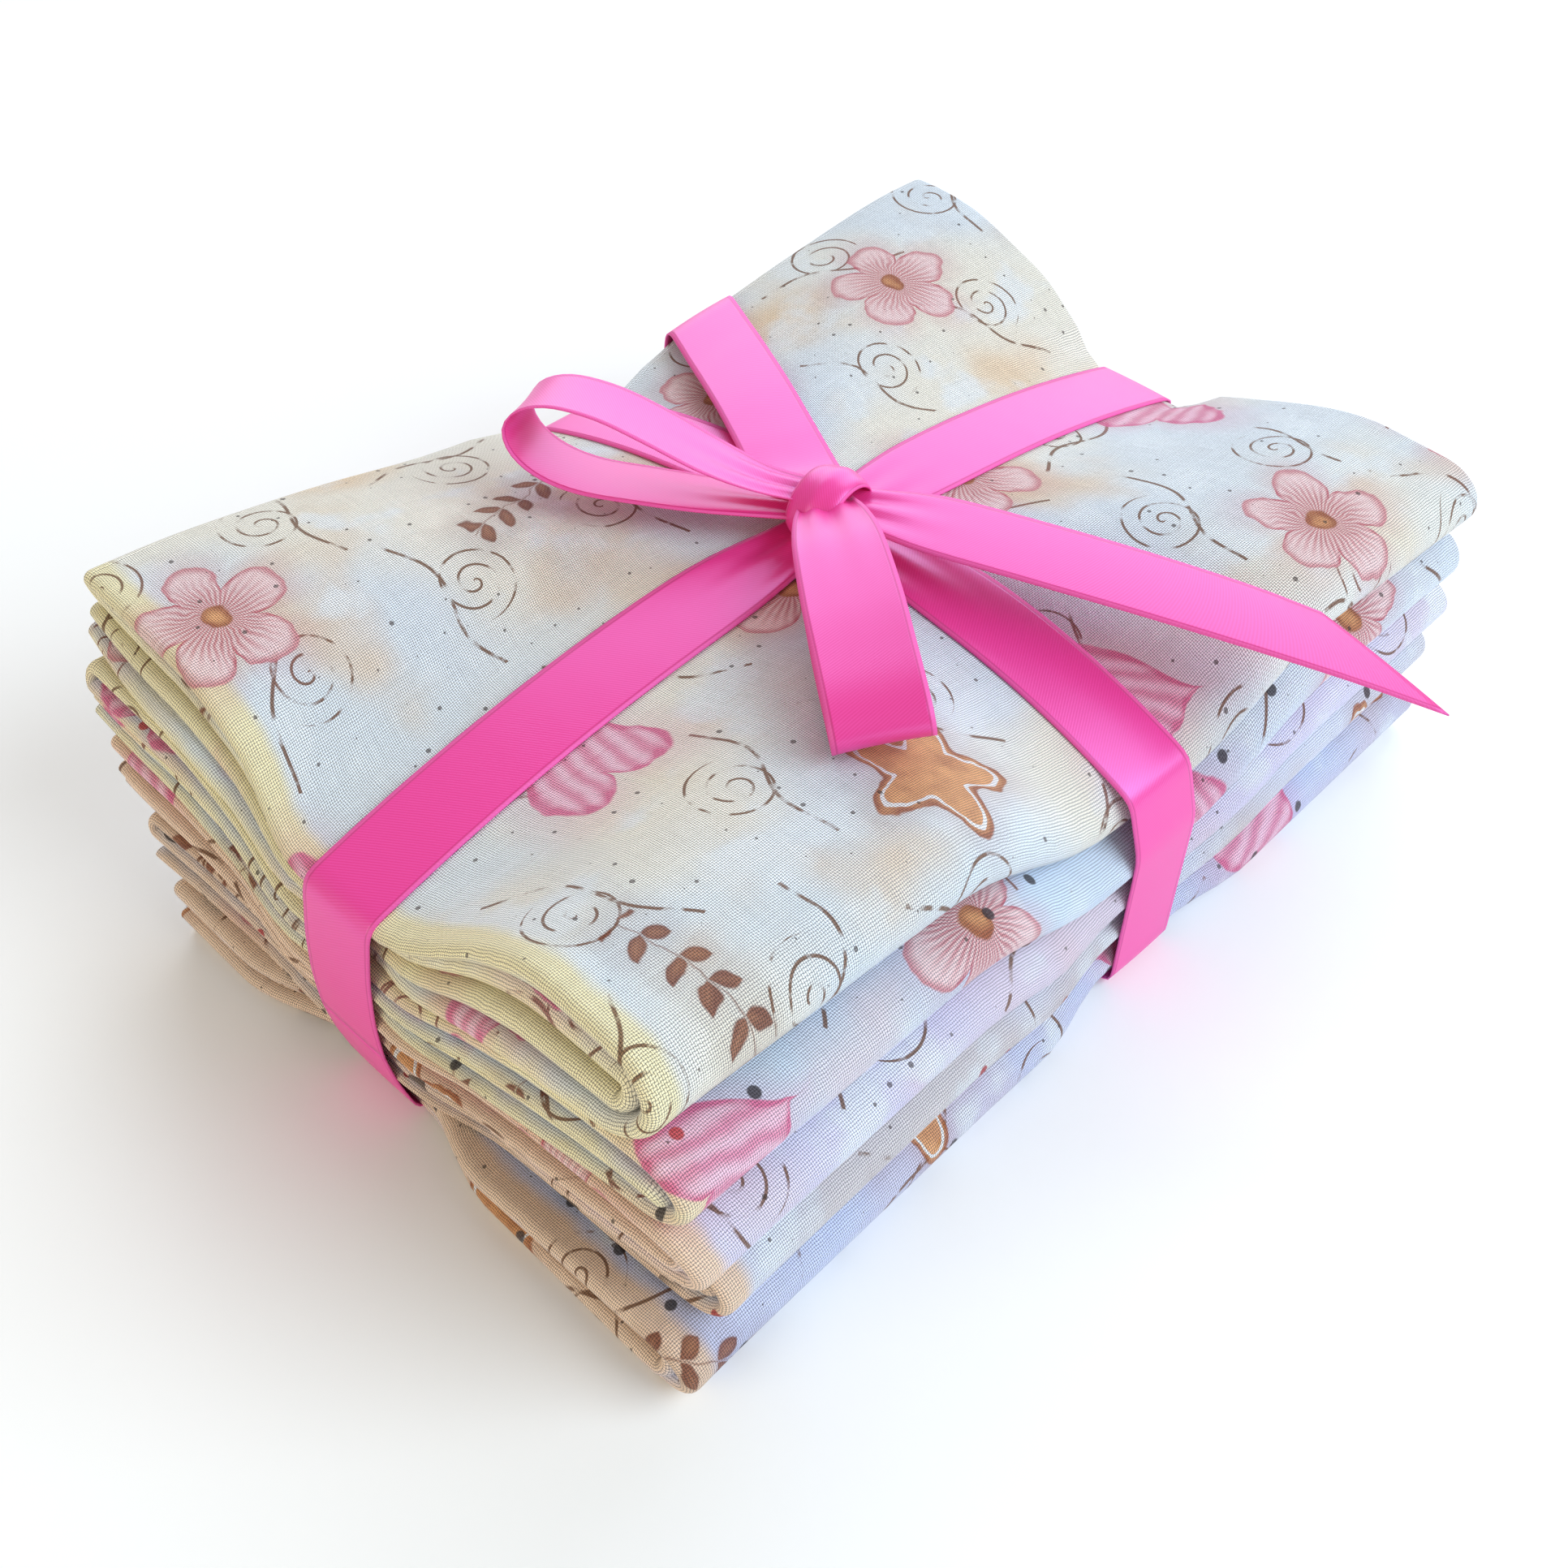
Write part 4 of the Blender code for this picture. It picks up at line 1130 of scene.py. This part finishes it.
for piece, (name, seed, shift, palette) in zip(cloths, PRINTS):
    piece.data.materials.append(printed_cotton(name, palette, seed, shift))
    print(name, len(piece.data.materials[0].node_tree.nodes), "nodes")

# %% [markdown]
# ## Satin
#
# Satin lets its threads float on the face, so it shines along the threads, and its back
# is a dull plain weave. The ribbon's fine slanting lines and the bound edge come from its
# own flat lengths. Both edges have a narrow selvedge with a row of tiny loops.

# %% The ribbon's satin
SATIN_PITCH = 0.50
SELVEDGE = 0.75


def satin(name):
    finish = Finish(name, 0.33)
    u, v = finish.flat_lengths()
    side = RIBBON_WIDTH / 2 - finish.math("ABSOLUTE", u)
    lines = finish.math("COSINE", (v + u * 0.6) * (2 * math.pi / SATIN_PITCH)) * 0.5 + 0.5
    floats = finish.noise(u * 2.2, v * 12.0, 1.0, 4.0)
    edge = 1 - finish.ramp(side, SELVEDGE - 0.12, SELVEDGE + 0.12)
    groove = 1 - finish.ramp(finish.math("ABSOLUTE", side - SELVEDGE), 0.06, 0.22)
    loops = finish.math("COSINE", v * (2 * math.pi / 0.7)) * 0.5 + 0.5
    height = (lines * 0.4 + floats * 0.3) * (1 - edge) + edge * (loops * 0.5 + 0.4) - groove * 0.6
    colour = finish.blend(lines * 0.55 + floats * 0.3, paint(242, 44, 136), paint(255, 78, 176))
    colour = finish.blend(edge * 0.3, colour, paint(255, 120, 190))
    # Painted shade: the groove between the satin and each selvedge is painted a darker pink.
    colour = finish.blend(groove * 0.7, colour, paint(206, 28, 104))
    finish.show("Base Color", colour)
    finish.show("Roughness", edge * 0.25 + floats * 0.10 + 0.30)
    finish.bump(height, 0.020)
    finish.shader.inputs["IOR"].default_value = 2.3
    finish.shader.inputs["Specular Tint"].default_value = (0.62, 0.46, 1.0, 1.0)
    finish.shader.inputs["Sheen Weight"].default_value = 0.1
    finish.shader.inputs["Sheen Tint"].default_value = (0.9, 0.5, 1.0, 1.0)
    return finish.material


ribbon.data.materials.append(satin("satin_ribbon"))
print("satin", len(ribbon.data.materials[0].node_tree.nodes), "nodes")

# %% [markdown]
# ## Floor and light
#
# The bundle lies on a plain pale table. Cool daylight comes from the right, where the
# folded spines face, and from behind, where it glances off the satin. The cut ends on the
# left get only a weak warm light.

# %% Floor
FLOOR_SIZE = 6.0  # metres
bpy.ops.mesh.primitive_plane_add(size=FLOOR_SIZE, location=(0, 0, -0.1 * MM))
floor = bpy.context.object
floor.name = "floor"
floor_finish = Finish("pale_table", 0.8)
floor_finish.shader.inputs["Base Color"].default_value = paint(253, 254, 255)
floor.data.materials.append(floor_finish.material)
print("table", FLOOR_SIZE, "m square")

# %% Light
LIGHTS = (
    ("window", (0.45, -0.75, 0.75), 0.9, 11.5, (0.80, 0.91, 1.0)),
    ("back_window", (0.95, 0.80, 0.70), 1.5, 16.0, (0.90, 0.94, 1.0)),
    ("lamp", (-0.80, 0.05, 0.30), 0.5, 2.0, (1.0, 0.84, 0.56)),
)
for name, where, size, power, colour in LIGHTS:
    light = bpy.data.lights.new(name, "AREA")
    light.size = size
    light.energy = power
    light.color = colour
    lamp = bpy.data.objects.new(name, light)
    lamp.location = where
    lamp.rotation_euler = (-Vector(where)).to_track_quat("-Z", "Y").to_euler()
    bpy.context.scene.collection.objects.link(lamp)

world = bpy.data.worlds.new("room")
world.use_nodes = True
world.node_tree.nodes["Background"].inputs["Color"].default_value = (1.0, 0.98, 0.94, 1.0)
world.node_tree.nodes["Background"].inputs["Strength"].default_value = 0.38
bpy.context.scene.world = world
bpy.context.scene.view_settings.view_transform = "Standard"
print("lights:", [name for name, *rest in LIGHTS])
